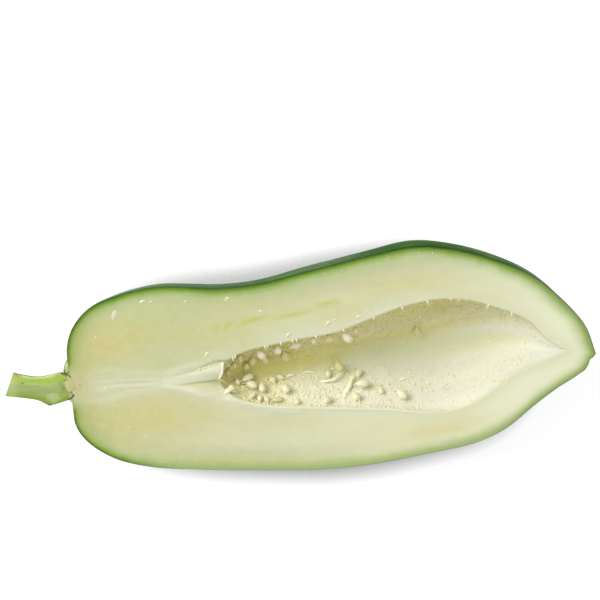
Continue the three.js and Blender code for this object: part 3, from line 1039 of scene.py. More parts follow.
# Colours of the cut by depth under the skin in millimetres, along the rim that the knife left pale.
PALE_RIM = [
    (0, (0.52, 0.61, 0.34)), (0.6, (0.66, 0.735, 0.50)), (1.7, (0.67, 0.74, 0.465)),
    (3.1, (0.715, 0.77, 0.51)), (4.6, (0.75, 0.79, 0.545)), (6.4, (0.79, 0.815, 0.58)),
]
RIM_REACH = 20
UNDER_SKIN = (0.23, 0.41, 0.0)
OLIVE = (0.68, 0.71, 0.40)
FIBRE = (0.72, 0.74, 0.48)
MILKY = (0.94, 0.94, 0.80)
SLIT_SHADE = (0.68, 0.69, 0.46)
JOINT_TAN = (0.78, 0.73, 0.50)
WALL_SPECKLE = (0.90, 0.86, 0.58)
SKIN_SPECK = (0.55, 0.64, 0.38)
FLESH_SCATTER = (1.0, 0.85, 0.4)


def flesh_material(settings):
    s = Shader("cut_flesh")
    rind = s.attribute("rind")
    between = [(c + d) / 2 for c, d in zip(settings.rind, settings.green)]
    green_rim = [(0, settings.edge), (0.45, UNDER_SKIN), (1.0, settings.rind), (1.9, between),
                 (3.1, settings.green), (5.2, settings.soft_green), (10.4, settings.pale),
                 (18, settings.heart)]
    pale_rim = [*PALE_RIM, (10.5, settings.pale), (16, settings.heart)]
    wobble = s.cloud(9, 2, to=(-0.6, 0.6))
    depth = s.math("MAXIMUM", s.plus(rind, s.times(wobble, s.span(rind, 0, 6))), 0)
    upper, lower = s.ramp(depth, green_rim, RIM_REACH), s.ramp(depth, pale_rim, RIM_REACH)
    colour = s.mix(s.attribute("pale_rim"), upper, lower)
    inner = s.span(depth, 2.5, 12)
    # Partly painted light and shade: darker shoulder flesh toward the stem end, paler tip flesh toward the
    # wide end.
    colour = s.lay(colour, settings.shoulder, s.times(s.attribute("shoulder"), inner), 0.9)
    wide_end = s.times(s.attribute("wide_end"), s.span(depth, 1.5, 9))
    colour = s.lay(colour, settings.tip, wide_end, 0.9)
    colour = s.lay(colour, OLIVE, s.times(s.attribute("olive"), s.span(depth, 0.6, 3.5)), 0.6)
    cloud = s.cloud(16, 3, stretch=(2.2, 1, 1))
    warm = s.times(s.attribute("warm"), s.span(cloud, 0, 1, 0.62, 1.05))
    colour = s.lay(colour, settings.warm, warm, inner)
    fine = s.cloud(2.0, 3, 0.30, 0.64, roughness=0.6, stretch=(9, 1, 1))
    colour = s.lay(colour, settings.white, s.attribute("core"), s.span(fine, 0, 1, 0.72, 0.95))
    colour = s.lay(colour, settings.strand, s.attribute("strand"), s.span(fine, 0, 1, 0.55, 0.90))
    colour = s.lay(colour, settings.vein, s.attribute("vein"), 0.85)
    fibres = s.cloud(1.4, 3, 0.35, 0.75, stretch=(9, 1, 1))
    colour = s.lay(colour, FIBRE, fibres, s.span(s.attribute("wide_end"), 0.2, 0.8, 0.10, 0.02))
    mottle = s.times(s.cloud(5, 4, roughness=0.6), inner)
    colour = s.lay(colour, MILKY, mottle, 0.12)
    colour = s.lay(colour, SLIT_SHADE, s.attribute("slit"), 0.30)
    swirl = s.cloud(2.6, 4, 0.40, 0.62, roughness=0.6, distortion=1.5)
    colour = s.lay(colour, JOINT_TAN, s.attribute("joint"), s.span(swirl, 0, 1, 0.35, 0.85))
    relief = s.plus(s.times(s.noise(0.9, 3, 0.6), 0.5), s.noise(3.2, 2, stretch=(2, 1, 1)))
    return s.finish(
        Base_Color=colour, Roughness=s.cloud(2.2, 3, to=(0.30, 0.52)), Normal=s.bump(relief, 0.09),
        Subsurface_Weight=settings.translucency, Subsurface_Radius=FLESH_SCATTER,
        Subsurface_Scale=1.0 * MM, Specular_IOR_Level=0.2, Coat_Weight=settings.wetness,
        Coat_Roughness=0.12)


def wall_material(settings):
    s = Shader("hollow_wall")
    colour = s.mix(s.attribute("wide_end"), linear(settings.wall), linear(settings.wall_tip))
    # Painted light on the wide end's upper wall, and a paler wall toward the lower lip.
    colour = s.lay(colour, settings.wall_top, s.attribute("pale_wall"))
    # Groove band: partly its own greenish colour, partly painted shade between the shaded and lit wall.
    colour = s.lay(colour, settings.groove, s.attribute("groove"))
    cloud = s.cloud(12, 3, stretch=(2, 1, 1))
    # Painted shade of the upper wall, the band under the upper lip and the narrow end.
    colour = s.lay(colour, settings.wall_shade_colour, s.attribute("painted_shade"), s.span(cloud, 0, 1, 0.85, 1.1))
    colour = s.lay(colour, WALL_SPECKLE, s.cloud(1.6, 3, 0.5, 0.75, roughness=0.6), 0.14)
    relief = s.plus(s.noise(2.4, 3), s.times(s.noise(0.7, 2), 0.35))
    return s.finish(
        Base_Color=colour, Roughness=s.cloud(3, 2, to=(0.42, 0.6)), Normal=s.bump(relief, 0.22),
        Subsurface_Weight=settings.translucency, Subsurface_Radius=FLESH_SCATTER,
        Subsurface_Scale=2.0 * MM, Specular_IOR_Level=0.2, Coat_Weight=0.05, Coat_Roughness=0.25)


def skin_material(settings):
    s = Shader("green_skin")
    streaks = s.cloud(9, 4, 0.32, 0.68, roughness=0.55, stretch=(6, 1, 1))
    colour = s.mix(streaks, linear(settings.green), linear(settings.light))
    patches = s.cloud(30, 3, 0.38, 0.62, stretch=(1.8, 1, 1))
    colour = s.lay(colour, settings.dark, patches, 0.75)
    bloom = s.times(s.cloud(22, 5, 0.40, 0.70, roughness=0.62, stretch=(2.5, 1, 1)), 0.75)
    colour = s.lay(colour, settings.bloom, bloom)
    colour = s.lay(colour, SKIN_SPECK, s.span(s.cells(3.2), 0.10, 0.16, 1, 0), 0.25)
    colour = s.lay(colour, settings.dark, s.span(s.attribute("rind"), 0.2, 2.2, 0.95, 0))
    relief = s.plus(s.noise(1.3, 3), s.times(s.noise(6, 2, stretch=(4, 1, 1)), 1.5))
    return s.finish(
        Base_Color=colour, Roughness=s.span(bloom, 0, 0.7, 0.36, 0.55),
        Normal=s.bump(relief, 0.12), Specular_IOR_Level=0.03)


class PAPAYA_OT_fruit(bpy.types.Operator):
    """Build the cut fruit with its skin, its flesh and the wall of its seed hollow"""

    bl_idname = "papaya.fruit"
    bl_label = "Cut Fruit"

    def execute(self, context):
        flesh, skin = context.scene.papaya_flesh, context.scene.papaya_skin
        materials = [skin_material(skin), flesh_material(flesh), wall_material(flesh)]
        new_piece("cut_fruit", fruit_mesh(skin), materials, ["fruit_half"])
        return {"FINISHED"}


# ------------------------------------------------------------------ the stem

STEM_SECTIONS = 150
STEM_SIDES = 56
STEM_FACE_ROWS = 34
STEM_TAIL = 3.0
STEM_RIBS = 9
# How far the stem's cut rises toward the joint, and its last ring inside the fruit.
STEM_RISE = 0.52
STEM_TAIL_RISE = 0.12


def stem_grid():
    """Points of the stem with its cut face up, its outer end and the tail inside the fruit."""
    upper_edge = edge_line(STEM_UPPER, by_length=False)
    lower_edge = edge_line(STEM_LOWER, by_length=False)
    shares = np.linspace(0, 1, STEM_SECTIONS)
    upper, lower = upper_edge.at(shares), lower_edge.at(shares)
    tail = np.array([[STEM_TAIL, 0, 0]])
    upper = np.vstack([upper, upper[-1:] + tail])
    lower = np.vstack([lower, lower[-1:] + tail])
    depth = np.append(smooth_value(STEM_DEPTH, shares), STEM_DEPTH[-1])
    middle = (upper + lower) / 2
    across = upper - middle
    angle = np.linspace(0, math.pi, STEM_SIDES + 1)
    ribs = 1 + 0.02 * np.sin(angle) * np.cos(STEM_RIBS * angle)
    round_side = (middle[:, None] + across[:, None] * (ribs * np.cos(angle))[None, :, None]
                  - depth[:, None, None] * np.array([0, 0, 1]) * (ribs * np.sin(angle))[None, :, None])
    share = np.linspace(-1, 1, STEM_FACE_ROWS + 2)[1:-1]
    face = middle[:, None] + across[:, None] * share[None, :, None]
    fibre = 0.10 * noise(face, (30, 0.9, 9), 31) + 0.12 * noise(face, (12, 5, 9), 32)
    edge = np.minimum(1, (1 - np.abs(share)) * 7)
    face[..., 2] += fibre * edge[None] + 0.14 * (edge[None] - 1)
    rise = STEM_RISE * rising(middle[:, 0], -142.5, 5)
    rise[-1] = STEM_TAIL_RISE
    face[..., 2] += rise[:, None]
    ring = np.concatenate([round_side, face], axis=1) + np.array(STEM_SHIFT)
    across_share = np.concatenate([np.cos(angle), share])
    return ring, np.broadcast_to(across_share, ring.shape[:2])


def stem_mesh():
    ring, across = stem_grid()
    rows, columns = ring.shape[:2]
    points = placed(ring).reshape(-1, 3)
    ends = [points[:columns].mean(axis=0), points[-columns:].mean(axis=0)]
    mesh = new_mesh("stem", np.vstack([points, ends]), closed_faces(rows, columns))
    kinds = np.tile([0] * STEM_SIDES + [1] * (STEM_FACE_ROWS + 1), rows - 1)
    mesh.polygons.foreach_set("material_index", np.append(kinds, [1, 1] * columns))
    for name, value in (("across", across), ("along", ring[..., 0]), ("beside", ring[..., 1])):
        value = value.ravel()
        write_attribute(mesh, name, np.append(value, [value[0], value[-1]]))
    outward(mesh)
    mesh.set_sharp_from_angle(angle=math.radians(45))
    return mesh


STEM_FIBRE = (0.72, 0.76, 0.50)
STEM_NEAR_JOINT = (0.52, 0.60, 0.24)
STEM_MERGE = (0.78, 0.76, 0.52)
STEM_BLOT = (0.79, 0.85, 0.64)
STEM_PALE_END = (0.82, 0.86, 0.60)
STEM_STREAK = (0.42, 0.55, 0.20)
# Pale blot on the stem's cut: its middle along and across, and its half sizes.
BLOT_PLACE, BLOT_SIZE = (-147.2, -4.9), (3.3, 2.5)


def stem_face_material(settings):
    s = Shader("stem_cut")
    across = s.math("MULTIPLY_ADD", s.attribute("across"), 0.5, 0.5)
    along = s.attribute("along")
    bands = [(0.0, (0.44, 0.56, 0.20)), (0.06, (0.52, 0.64, 0.24)), (0.22, (0.60, 0.68, 0.31)),
             (0.40, settings.pith), (0.56, settings.pith), (0.66, (0.70, 0.78, 0.44)),
             (0.80, (0.66, 0.78, 0.30)), (0.92, (0.73, 0.82, 0.42)), (0.965, (0.90, 0.92, 0.72)),
             (1.0, settings.green)]
    wobble = s.cloud(4, 2, to=(-0.04, 0.04), stretch=(3, 1, 1))
    colour = s.ramp(s.plus(across, wobble), bands)
    colour = s.lay(colour, STEM_FIBRE, s.cloud(0.7, 3, 0.4, 0.7, stretch=(16, 1, 1)), 0.3)
    dried = s.times(s.span(along, -165.0, -160.5, 1, 0), s.span(across, 0.80, 0.97))
    colour = s.lay(colour, settings.tan, dried)
    joint = s.span(s.plus(along, s.cloud(2.5, 3, to=(-1.5, 1.5))), -145, -139.5)
    colour = s.lay(colour, STEM_NEAR_JOINT, joint, 0.75)
    merge = s.cloud(3.0, 4, to=(-2.2, 2.2), roughness=0.6)
    colour = s.lay(colour, STEM_MERGE, s.span(s.plus(along, merge), -140.5, -137.0))
    blot = s.cloud(2.2, 3, to=(-0.5, 0.5))
    for value, middle, half in zip((along, s.attribute("beside")), BLOT_PLACE, BLOT_SIZE):
        offset = s.math("DIVIDE", s.plus(value, -middle), half)
        blot = s.plus(blot, s.math("POWER", offset, 2.0))
    colour = s.lay(colour, STEM_BLOT, s.span(blot, 0.0, 2.0, 0.50, 0))
    pale_end = s.times(s.span(along, -169, -163, 1, 0), s.span(across, 0.1, 0.9, 0.35, 0.7))
    colour = s.lay(colour, STEM_PALE_END, pale_end)
    relief = s.plus(s.noise(0.6, 3, stretch=(12, 1, 1)), s.noise(2, 2))
    return s.finish(
        Base_Color=colour, Roughness=s.cloud(2, 2, to=(0.30, 0.5)), Normal=s.bump(relief, 0.10),
        Subsurface_Weight=0.15, Subsurface_Radius=(0.6, 1.0, 0.3), Subsurface_Scale=1.5 * MM,
        Specular_IOR_Level=0.2, Coat_Weight=0.1, Coat_Roughness=0.15)


def stem_skin_material(settings):
    s = Shader("stem_skin")
    streak = s.cloud(1.6, 3, 0.35, 0.65, stretch=(8, 1, 1))
    colour = s.mix(streak, linear(settings.skin), linear(STEM_STREAK))
    colour = s.lay(colour, settings.tan, s.cloud(1.1, 2, 0.6, 0.75), 0.4)
    relief = s.noise(0.9, 3, stretch=(5, 1, 1))
    return s.finish(
        Base_Color=colour, Roughness=s.span(streak, 0, 1, 0.38, 0.52),
        Normal=s.bump(relief, 0.15), Coat_Weight=0.1, Coat_Roughness=0.3)


JOINT_LINE = -136.5


def cut_height(x, y):
    """Height of the stem's cut face, or of the fruit's beyond the joint."""
    return 0.0 if x < JOINT_LINE else face_height(x, y)


# Bulges of the shoulder where the stem joins, level with the cut: centre, size, turn.
SHOULDER_BULGES = [
    ((-137.6, 11.6, -2.4), (10.4, 4.0, 4.8), 66), ((-137.0, -7.4, -2.2), (5.4, 3.6, 4.4), -38),
]
# Pale collar of tissue that carries the stem's cut into the fruit's: centre, size, turn.
COLLAR = ((-137.2, 1.2, -1.5), (8.4, 15.0, 3.7), 6)
# Corky scars on the cut at the joint: path, radius, darkness.
SCARS = [
    ([(-141.6, 8.6), (-140.2, 8.1), (-139.0, 7.8)], 0.42, 0.35),
    ([(-139.8, 7.9), (-138.6, 7.7), (-137.2, 6.7), (-136.7, 6.0)], 0.40, 1.0),
    ([(-139.9, -6.3), (-138.6, -5.7), (-137.4, -4.8), (-136.2, -3.5)], 0.50, 0.9),
    ([(-150.9, -8.1), (-149.6, -8.6), (-148.3, -8.6)], 0.28, 0.3),
    ([(-139.3, 8.2), (-139.9, 9.6), (-139.7, 11.0)], 0.26, 0.6),
    ([(-162.6, 5.0), (-161.6, 4.4)], 0.22, 0.2),
]


def shoulder_bulge(centre, size, turn, seed):
    """A lump of fruit cut off flat with the face, and each point's share from its middle out."""
    points, faces = lump_shape(centre, size, turn, seed, 26, 36, 0.10)
    offset = (points - np.asarray(centre))[:, :2]
    along, across = turned(*offset.T, -turn)
    points[:, 2] = np.minimum(points[:, 2], 0.02 * np.sin(points[:, 0] * 3))
    return points, faces, np.hypot(along / (size[0] / 2), across / (size[1] / 2))


def bulge_material(flesh, skin):
    s = Shader("shoulder")
    stops = [(0, (0.77, 0.775, 0.52)), (0.60, flesh.soft_green), (0.82, (0.55, 0.66, 0.28)),
             (0.93, flesh.rind), (1.0, skin.green)]
    colour = s.ramp(s.attribute("out"), stops)
    colour = s.lay(colour, (0.55, 0.60, 0.34), s.cloud(1.6, 3, 0.35, 0.7), 0.15)
    return s.finish(
        Base_Color=colour, Roughness=0.42, Normal=s.bump(s.noise(1.0, 3), 0.08),
        Subsurface_Weight=0.2, Subsurface_Radius=FLESH_SCATTER, Subsurface_Scale=1.0 * MM,
        Coat_Weight=0.2, Coat_Roughness=0.15)


def scar_material(settings):
    s = Shader("scar")
    colour = s.mix(s.attribute("tone"), linear((0.44, 0.34, 0.12)), linear(settings.scar))
    colour = s.lay(colour, (0.34, 0.36, 0.14), s.cloud(0.5, 3, 0.45, 0.7), 0.5)
    return s.finish(Base_Color=colour, Roughness=0.6, Normal=s.bump(s.noise(0.4, 3), 0.1))


class PAPAYA_OT_joint(bpy.types.Operator):
    """Build the shoulder's bulges and the scars where the stem joins"""

    bl_idname = "papaya.joint"
    bl_label = "Joint"

    def execute(self, context):
        flesh, skin = context.scene.papaya_flesh, context.scene.papaya_skin
        bulges = Gathered()
        for number, (centre, size, turn) in enumerate(SHOULDER_BULGES):
            bulges.add(*shoulder_bulge(centre, size, turn, 101 + number))
        bulges.add(*lump_shape(*COLLAR, 103, 26, 36, 0.06))
        new_piece("shoulder_bulges", bulges.mesh("bulges", "out"), [bulge_material(flesh, skin)])

        scars = Gathered()
        for path, radius, tone in SCARS:
            path = catmull_rom([(x, y, cut_height(x, y) + 0.02) for x, y in path], 7)
            swell = 0.8 + 0.35 * noise(path, 0.8, 111)
            scars.add(*tube(path, radius * swell * end_taper(len(path), 0.35), sides=10), tone)
        new_piece("joint_scars", scars.mesh("scars"), [scar_material(context.scene.papaya_stem)])
        return {"FINISHED"}


class PAPAYA_OT_stem(bpy.types.Operator):
    """Build the cut length of stem"""

    bl_idname = "papaya.stem"
    bl_label = "Stem"

    def execute(self, context):
        settings = context.scene.papaya_stem
        materials = [stem_skin_material(settings), stem_face_material(settings)]
        new_piece("cut_stem", stem_mesh(), materials, ["stem_half"])
        return {"FINISHED"}


# ------------------------------------------------------------------ the seeds

SEED_RINGS = 26
SEED_SIDES = 32
SEED_VEINS = 9
# Translucent seeds, whose yellower colour is partly painted shade for the seeds that lie in shade.
GLASSY_SEEDS = [f"wall_seed_{number:02d}" for number in (5, 6, 7, 8, 9, 10, 11, 12, 21, 28)]
GLASSY_SEEDS += ["hanging_seed_05", "hanging_seed_07"]
SEED_CLOUD = (0.98, 0.97, 0.92)
# How much of each colour channel is left in the painted shade of the hollows between a seed's veins.
VEIN_HOLLOW_SHADE = (0.90, 0.88, 0.76)


def seed_names():
    return sorted(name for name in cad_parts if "_seed_" in name)


def seed_axes(name):
    """Centre, half sizes and axes of a packed seed, longest first, in the model's metres."""
    points = node_points(name)
    centre = (points.min(axis=0) + points.max(axis=0)) / 2
    spread = points - centre
    _, axes = np.linalg.eigh(spread.T @ spread)
    axes = axes[:, ::-1].T
    half = np.abs(spread @ axes.T).max(axis=0)
    return centre, half, axes


def seed_mesh(name, vein_height, number):
    """A pointed oval with lengthwise veins and a small scar at its blunt end."""
    centre, half, axes = seed_axes(name)
    polar, turn = np.meshgrid(
        np.linspace(0, math.pi, SEED_RINGS), np.linspace(0, 2 * math.pi, SEED_SIDES, endpoint=False),
        indexing="ij")
    taper = 1 - 0.16 * np.cos(polar) - 0.05 * np.cos(2 * polar)
    veins = np.cos(SEED_VEINS * turn + 0.6 * np.sin(2 * polar + number)) * np.sin(polar)
    lump = 0.05 * noise(np.stack([polar * 2, np.cos(turn) * 1.5, np.sin(turn) * 1.5], -1), 1.0, number)
    radius = np.sin(polar) ** 0.92 * (taper + lump) / 1.08
    x = np.cos(polar) + 0.05 * np.sin(turn) * np.sin(polar)
    outwards = np.stack([np.zeros_like(turn), np.cos(turn), np.sin(turn)], -1)
    local = np.stack([x, radius * np.cos(turn), radius * np.sin(turn)], -1) * half
    local += outwards * (vein_height * veins)[..., None]
    mesh = new_mesh(name, centre + local.reshape(-1, 3) @ axes, ring_faces(SEED_RINGS, SEED_SIDES))
    write_attribute(mesh, "vein", veins)
    write_attribute(mesh, "along_seed", polar / math.pi)
    outward(mesh, weld=1e-6)
    return mesh


def seed_material(name, settings, colour, glassy):
    """Milky seeds, or empty ones that let the wall behind them show."""
    s = Shader(name)
    shaded = [channel * share for channel, share in zip(colour, VEIN_HOLLOW_SHADE)]
    # Painted shade in the hollows between the veins.
    hollows = s.math("SUBTRACT", 1, s.span(s.attribute("vein"), -1, 1))
    base = s.lay(linear(colour), shaded, hollows, 0.45)
    base = s.lay(base, settings.stub, s.span(s.attribute("along_seed"), 0.86, 1.0), 0.5)
    base = s.lay(base, SEED_CLOUD, s.cloud(1.4, 2, 0.35, 0.7), 0.18)
    return s.finish(
        Base_Color=base, Roughness=0.28, Normal=s.bump(s.noise(0.35, 2), 0.03),
        Transmission_Weight=0.2 if glassy else 0.0, IOR=1.3 if glassy else 1.45,
        Subsurface_Weight=0.0 if glassy else 0.25, Subsurface_Radius=(1.0, 0.9, 0.5),
        Subsurface_Scale=0.8 * MM, Coat_Weight=0.5, Coat_Roughness=0.1)


class PAPAYA_OT_seeds(bpy.types.Operator):
    """Build the unripe seeds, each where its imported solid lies"""

    bl_idname = "papaya.seeds"
    bl_label = "Seeds"

    def execute(self, context):
        settings = context.scene.papaya_seed
        ivory = seed_material("ivory_seed", settings, settings.ivory, False)
        glassy = seed_material("glassy_seed", settings, settings.glassy, True)
        for number, name in enumerate(seed_names()):
            mesh = seed_mesh(name, settings.vein_height, number)
            new_piece("fine_" + name, mesh, [glassy if name in GLASSY_SEEDS else ivory], [name])
        return {"FINISHED"}


# ------------------------------------------------------------------ threads and seed buds

THREAD_SEED = 5
BUD_SEED = 11
# Share of the buds that are bent threads; the others are low lumps.
BENT_SHARE = 0.3
# Where the buds stand in slanting rows: degrees round the wall, spread, stretch along, spacing.
BUD_FIELDS = [
    (54, 19, (-54, 106), 2.6), (14, 7, (-44, 98), 4.0), (144, 18, (-52, 104), 2.9),
    (173, 3, (-46, 88), 5.0), (124, 5, (-40, 20), 3.0),
]
# How far the rows of buds reach to both sides of a field's middle, in shares of its spread.
BUD_ROWS_REACH = 2.2
# Fields of larger crumbs: degrees, spread, stretch along, how many, largest length.
CRUMB_FIELDS = [
    (146, 9, (-50, 26), 110, 1.7), (170, 5, (-50, 40), 60, 1.7), (60, 8, (-52, 0), 40, 1.6),
    (140, 12, (20, 100), 60, 1.1), (62, 12, (0, 100), 50, 1.0), (118, 8, (-40, 4), 30, 1.5),
]
# Thicker threads and shreds, listed one by one: points [along, degrees, stand-off], thickness.
SHREDS = [
    ([(-7.3, 129, 0.2), (-4.5, 131, 1.6), (-1.0, 131, 2.4), (2.0, 126, 2.8), (4.4, 119, 2.6)], 0.95),
    ([(5.5, 152, -0.4), (6.5, 145, 1.2), (8.0, 137, 1.9), (10.0, 130, 1.4), (11.5, 126, 0.0)], 1.9),
    ([(4.5, 157, -0.3), (5.2, 149, 0.6), (6.6, 142, 0.9)], 1.5),
    ([(34.6, 137, -0.2), (35.6, 136, 1.0), (36.8, 134, 1.3), (38.2, 135, 0.6)], 0.45),
    ([(35.2, 133, -0.2), (36.4, 134.5, 1.1), (37.0, 137, 0.9)], 0.4),
    ([(37.2, 132, -0.2), (37.6, 134, 1.2), (38.8, 137, 0.7)], 0.4),
    ([(-56.9, 34, 0.2), (-56.4, 48, 2.6), (-55.6, 66, 2.4), (-55.2, 84, 1.2)], 0.38),
    ([(-17, 112, 0.0), (-14, 111, 0.9), (-11, 112, 0.7), (-9, 113, 0.0)], 0.8),
    ([(-26, 116, 0.0), (-23.5, 114, 1.1), (-21, 113, 0.3)], 0.9),
    ([(-1.8, 112, -0.1), (-0.6, 111, 1.0), (1.0, 112, 0.6)], 0.8),
]
# Short cut threads that stand on the hollow's upper lip: [along, length, lean].
LIP_THREADS = [
    (-52.2, 2.6, 0.2), (-50.8, 1.8, -0.4), (-35.4, 2.0, 0.5), (-33.6, 1.5, -0.3), (-26.8, 1.4, 0.3),
    (-20.5, 1.9, 0.7), (-18.4, 1.4, -0.5), (-8.5, 1.3, 0.2), (6.2, 1.2, 0.4), (36.6, 2.3, 0.3),
    (49.6, 2.7, 0.8), (81.3, 2.6, -0.7), (93.6, 2.4, -0.9), (62, 1.2, 0.2), (22, 1.3, 0.3),
]


def wall_path(wall, route):
    points = []
    for along, degrees, stand_off in route:
        point, inward = wall.at(along, degrees)
        points.append(point + inward * stand_off)
    return catmull_rom(points, 6)


def seed_thread(wall, name, rng):
    """A bent thread from a seed's blunt end to the wall beside it."""
    centre, half, axes = seed_axes(name)
    centre, tip = unplaced(centre), unplaced(centre + axes[0] * half[0])
    reach = (tip - centre) / np.linalg.norm(tip - centre) * (half[0] / MM)
    ends = [centre + reach, centre - reach]
    end = min(ends, key=lambda place: np.linalg.norm(wall.nearest(place)[0] - place))
    way = (end - centre) / np.linalg.norm(end - centre)
    foot, inward = wall.nearest(end + way * rng.uniform(1.0, 2.2))
    bend = (end + foot) / 2 + way * 0.7 + inward * rng.uniform(0.1, 0.6)
    path = catmull_rom([end - way * 0.4, end + way * 0.25, bend, foot - inward * 0.3], 4)
    thickness = rng.uniform(0.24, 0.36)
    return path, thickness * (1 - 0.25 * np.sin(np.linspace(0, math.pi, len(path))))


def lean_along(inward, rng):
    """A random direction along the wall."""
    lean = rng.normal(0, 1, 3)
    lean -= inward * (lean @ inward)
    return lean / np.linalg.norm(lean)


def bud(wall, along, degrees, rng):
    """A tiny bent bud that leans over the wall, thicker at its free end."""
    foot, inward = wall.at(along, degrees)
    lean = lean_along(inward, rng)
    height = rng.uniform(0.35, 0.8)
    reach = rng.uniform(0.5, 1.3)
    path = [foot - inward * 0.25, foot + inward * 0.4 * height + lean * 0.15 * reach,
            foot + inward * 0.85 * height + lean * 0.5 * reach, foot + inward * height + lean * reach]
    base = rng.uniform(0.22, 0.36)
    radii = base * np.array([1.25, 0.9, 0.95, rng.uniform(0.7, 1.35)])
    return catmull_rom(path, 2), np.interp(np.linspace(0, 3, 7), range(4), radii)


def seated_lump(wall, along, degrees, length, width, height, rng):
    """A low lump on the wall; width and height above the wall are shares of its length."""
    foot, inward = wall.at(along, degrees)
    size = (length, length * width, 2 * (length * height))
    points, faces = lump_shape((0, 0, 0), size, 0, rng.integers(90, 99), 8, 12, 0.22)
    lean = lean_along(inward, rng)
    return foot + points @ np.array([lean, np.cross(inward, lean), inward]), faces


THREAD_CLOUD = (0.96, 0.94, 0.80)


def thread_material(name, colour, dark):
    s = Shader(name)
    base = s.mix(s.span(s.attribute("tone"), 0, 1), linear(colour), linear(dark))
    base = s.lay(base, THREAD_CLOUD, s.cloud(1.2, 2, 0.35, 0.7), 0.2)
    return s.finish(
        Base_Color=base, Roughness=0.42, Normal=s.bump(s.noise(0.4, 2), 0.04),
        Coat_Weight=0.25, Coat_Roughness=0.2)


class PAPAYA_OT_threads(bpy.types.Operator):
    """Build the threads that hold the seeds, and the torn shreds between them"""

    bl_idname = "papaya.threads"
    bl_label = "Seed Threads"

    def execute(self, context):
        settings = context.scene.papaya_seed
        rng = np.random.default_rng(THREAD_SEED)
        wall = Wall()
        gathered = Gathered()
        for name in seed_names():
            gathered.add(*tube(*seed_thread(wall, name, rng)), 0.2)
        for route, thickness in SHREDS:
            path = wall_path(wall, route)
            swell = 0.75 + 0.35 * noise(path, 1.6, 41)
            radii = thickness * swell * end_taper(len(path), 0.45)
            gathered.add(*tube(path, radii, sides=12, flatten=0.75))
        for along, length, lean in LIP_THREADS:
            lip, _ = wall.at(along, 0.5)
            way = np.array([lean * 0.6, -1.0, 0.0])
            way /= np.linalg.norm(way)
            path = catmull_rom([lip + (0, 0.6, -0.3), lip + way * 0.35 * length + (0, 0, 0.15),
                                lip + way * length + (0.1, 0, -0.35)], 4)
            gathered.add(*tube(path, np.linspace(0.42, 0.2, len(path))))
        material = thread_material("thread", settings.thread, settings.stub)
        new_piece("seed_threads", gathered.mesh("threads"), [material])
        return {"FINISHED"}


class PAPAYA_OT_buds(bpy.types.Operator):
    """Build the tiny undeveloped seed buds along the hollow's ridges"""

    bl_idname = "papaya.buds"
    bl_label = "Seed Buds"

    def execute(self, context):
        settings = context.scene.papaya_seed
        rng = np.random.default_rng(BUD_SEED)
        wall = Wall()
        gathered = Gathered()
        for centre, spread, (start, end), spacing in BUD_FIELDS:
            rows = np.arange(-BUD_ROWS_REACH, BUD_ROWS_REACH + 0.1, BUD_ROWS_REACH * spacing / spread)
            for (row, offset), place in itertools.product(enumerate(rows), np.arange(start, end, spacing)):
                if rng.random() > np.exp(-offset**2 / 2):
                    continue
                along = place + spacing * (0.3 * (row % 4) + rng.normal(0, 0.16))
                degrees = np.clip(centre + spread * (offset + rng.normal(0, 0.10)), 4, 176)
                tone = rng.uniform(0.2, 0.9)
                if rng.random() < BENT_SHARE:
                    gathered.add(*tube(*bud(wall, along, degrees, rng), sides=6), tone)
                    continue
                size = rng.uniform(0.8, 1.7), rng.uniform(0.5, 0.9), rng.uniform(0.28, 0.42)
                gathered.add(*seated_lump(wall, along, degrees, *size, rng), tone)
        for centre, spread, (start, end), count, largest_length in CRUMB_FIELDS:
            for _ in range(count):
                along = rng.uniform(start, end)
                degrees = np.clip(rng.normal(centre, spread), 5, 175)
                length = rng.uniform(0.45, 1.0) * largest_length
                size = length, rng.uniform(0.5, 0.8), rng.uniform(0.25, 0.45)
                gathered.add(*seated_lump(wall, along, degrees, *size, rng), rng.uniform(0, 0.7))
        material = thread_material("bud", settings.thread, settings.stub)
        new_piece("seed_buds", gathered.mesh("buds"), [material])
        return {"FINISHED"}


# ------------------------------------------------------------------ sap and juice

DROP_RINGS = 9
DROP_SIDES = 20
BEAD_SEED = 23
# Depth of a drop's rim and of its lowest point below the cut.
DROP_RIM, DROP_ROOT = 0.05, 0.25
# Drops of milky sap on the cut: [along, across], length, width, height, turn in degrees.
SAP_DROPS = [
    ((-110.6, 38.6), 7, 3, 0.49, 70), ((-95.8, 44.1), 4.2, 2, 0.33, 30),
    ((-91.5, 43.6), 2.4, 1.5, 0.25, 40), ((-73.9, 42.6), 3, 1.4, 0.23, 45),
    ((-52.4, 42.4), 4, 2.4, 0.4, 45), ((-65.6, 12.8), 5.6, 2.6, 0.43, 50),
    ((-36, 34.2), 3.8, 2, 0.33, 45), ((-22.6, 20.4), 5, 2.8, 0.46, 40),
    ((-1.6, 25.2), 5.6, 2.8, 0.46, 40), ((14.4, 27.6), 4.6, 2.2, 0.36, 30),
    ((17.8, 29.6), 3, 1.4, 0.23, 40), ((1.8, 27), 2.6, 1.4, 0.23, 45),
    ((-80, 29.6), 1.8, 1.1, 0.18, 40), ((-68.5, 26.6), 2.2, 1.1, 0.18, 45),
    ((-121.6, 27), 2.2, 1.2, 0.2, 45), ((-101.2, -30.5), 2.8, 1.4, 0.23, 50),
    ((-126.5, -8.6), 2, 1.1, 0.18, 40), ((-110, -24.5), 2.6, 1.3, 0.21, 60),
    ((-120, -1.2), 2.2, 1, 0.17, 30), ((-120.3, 3.8), 1.6, 0.9, 0.15, 40),
    ((-116.7, -15.6), 2.2, 1.1, 0.18, 60), ((-136.1, -2.2), 1.4, 0.9, 0.15, 40),
]
JUICE_BEADS = 900
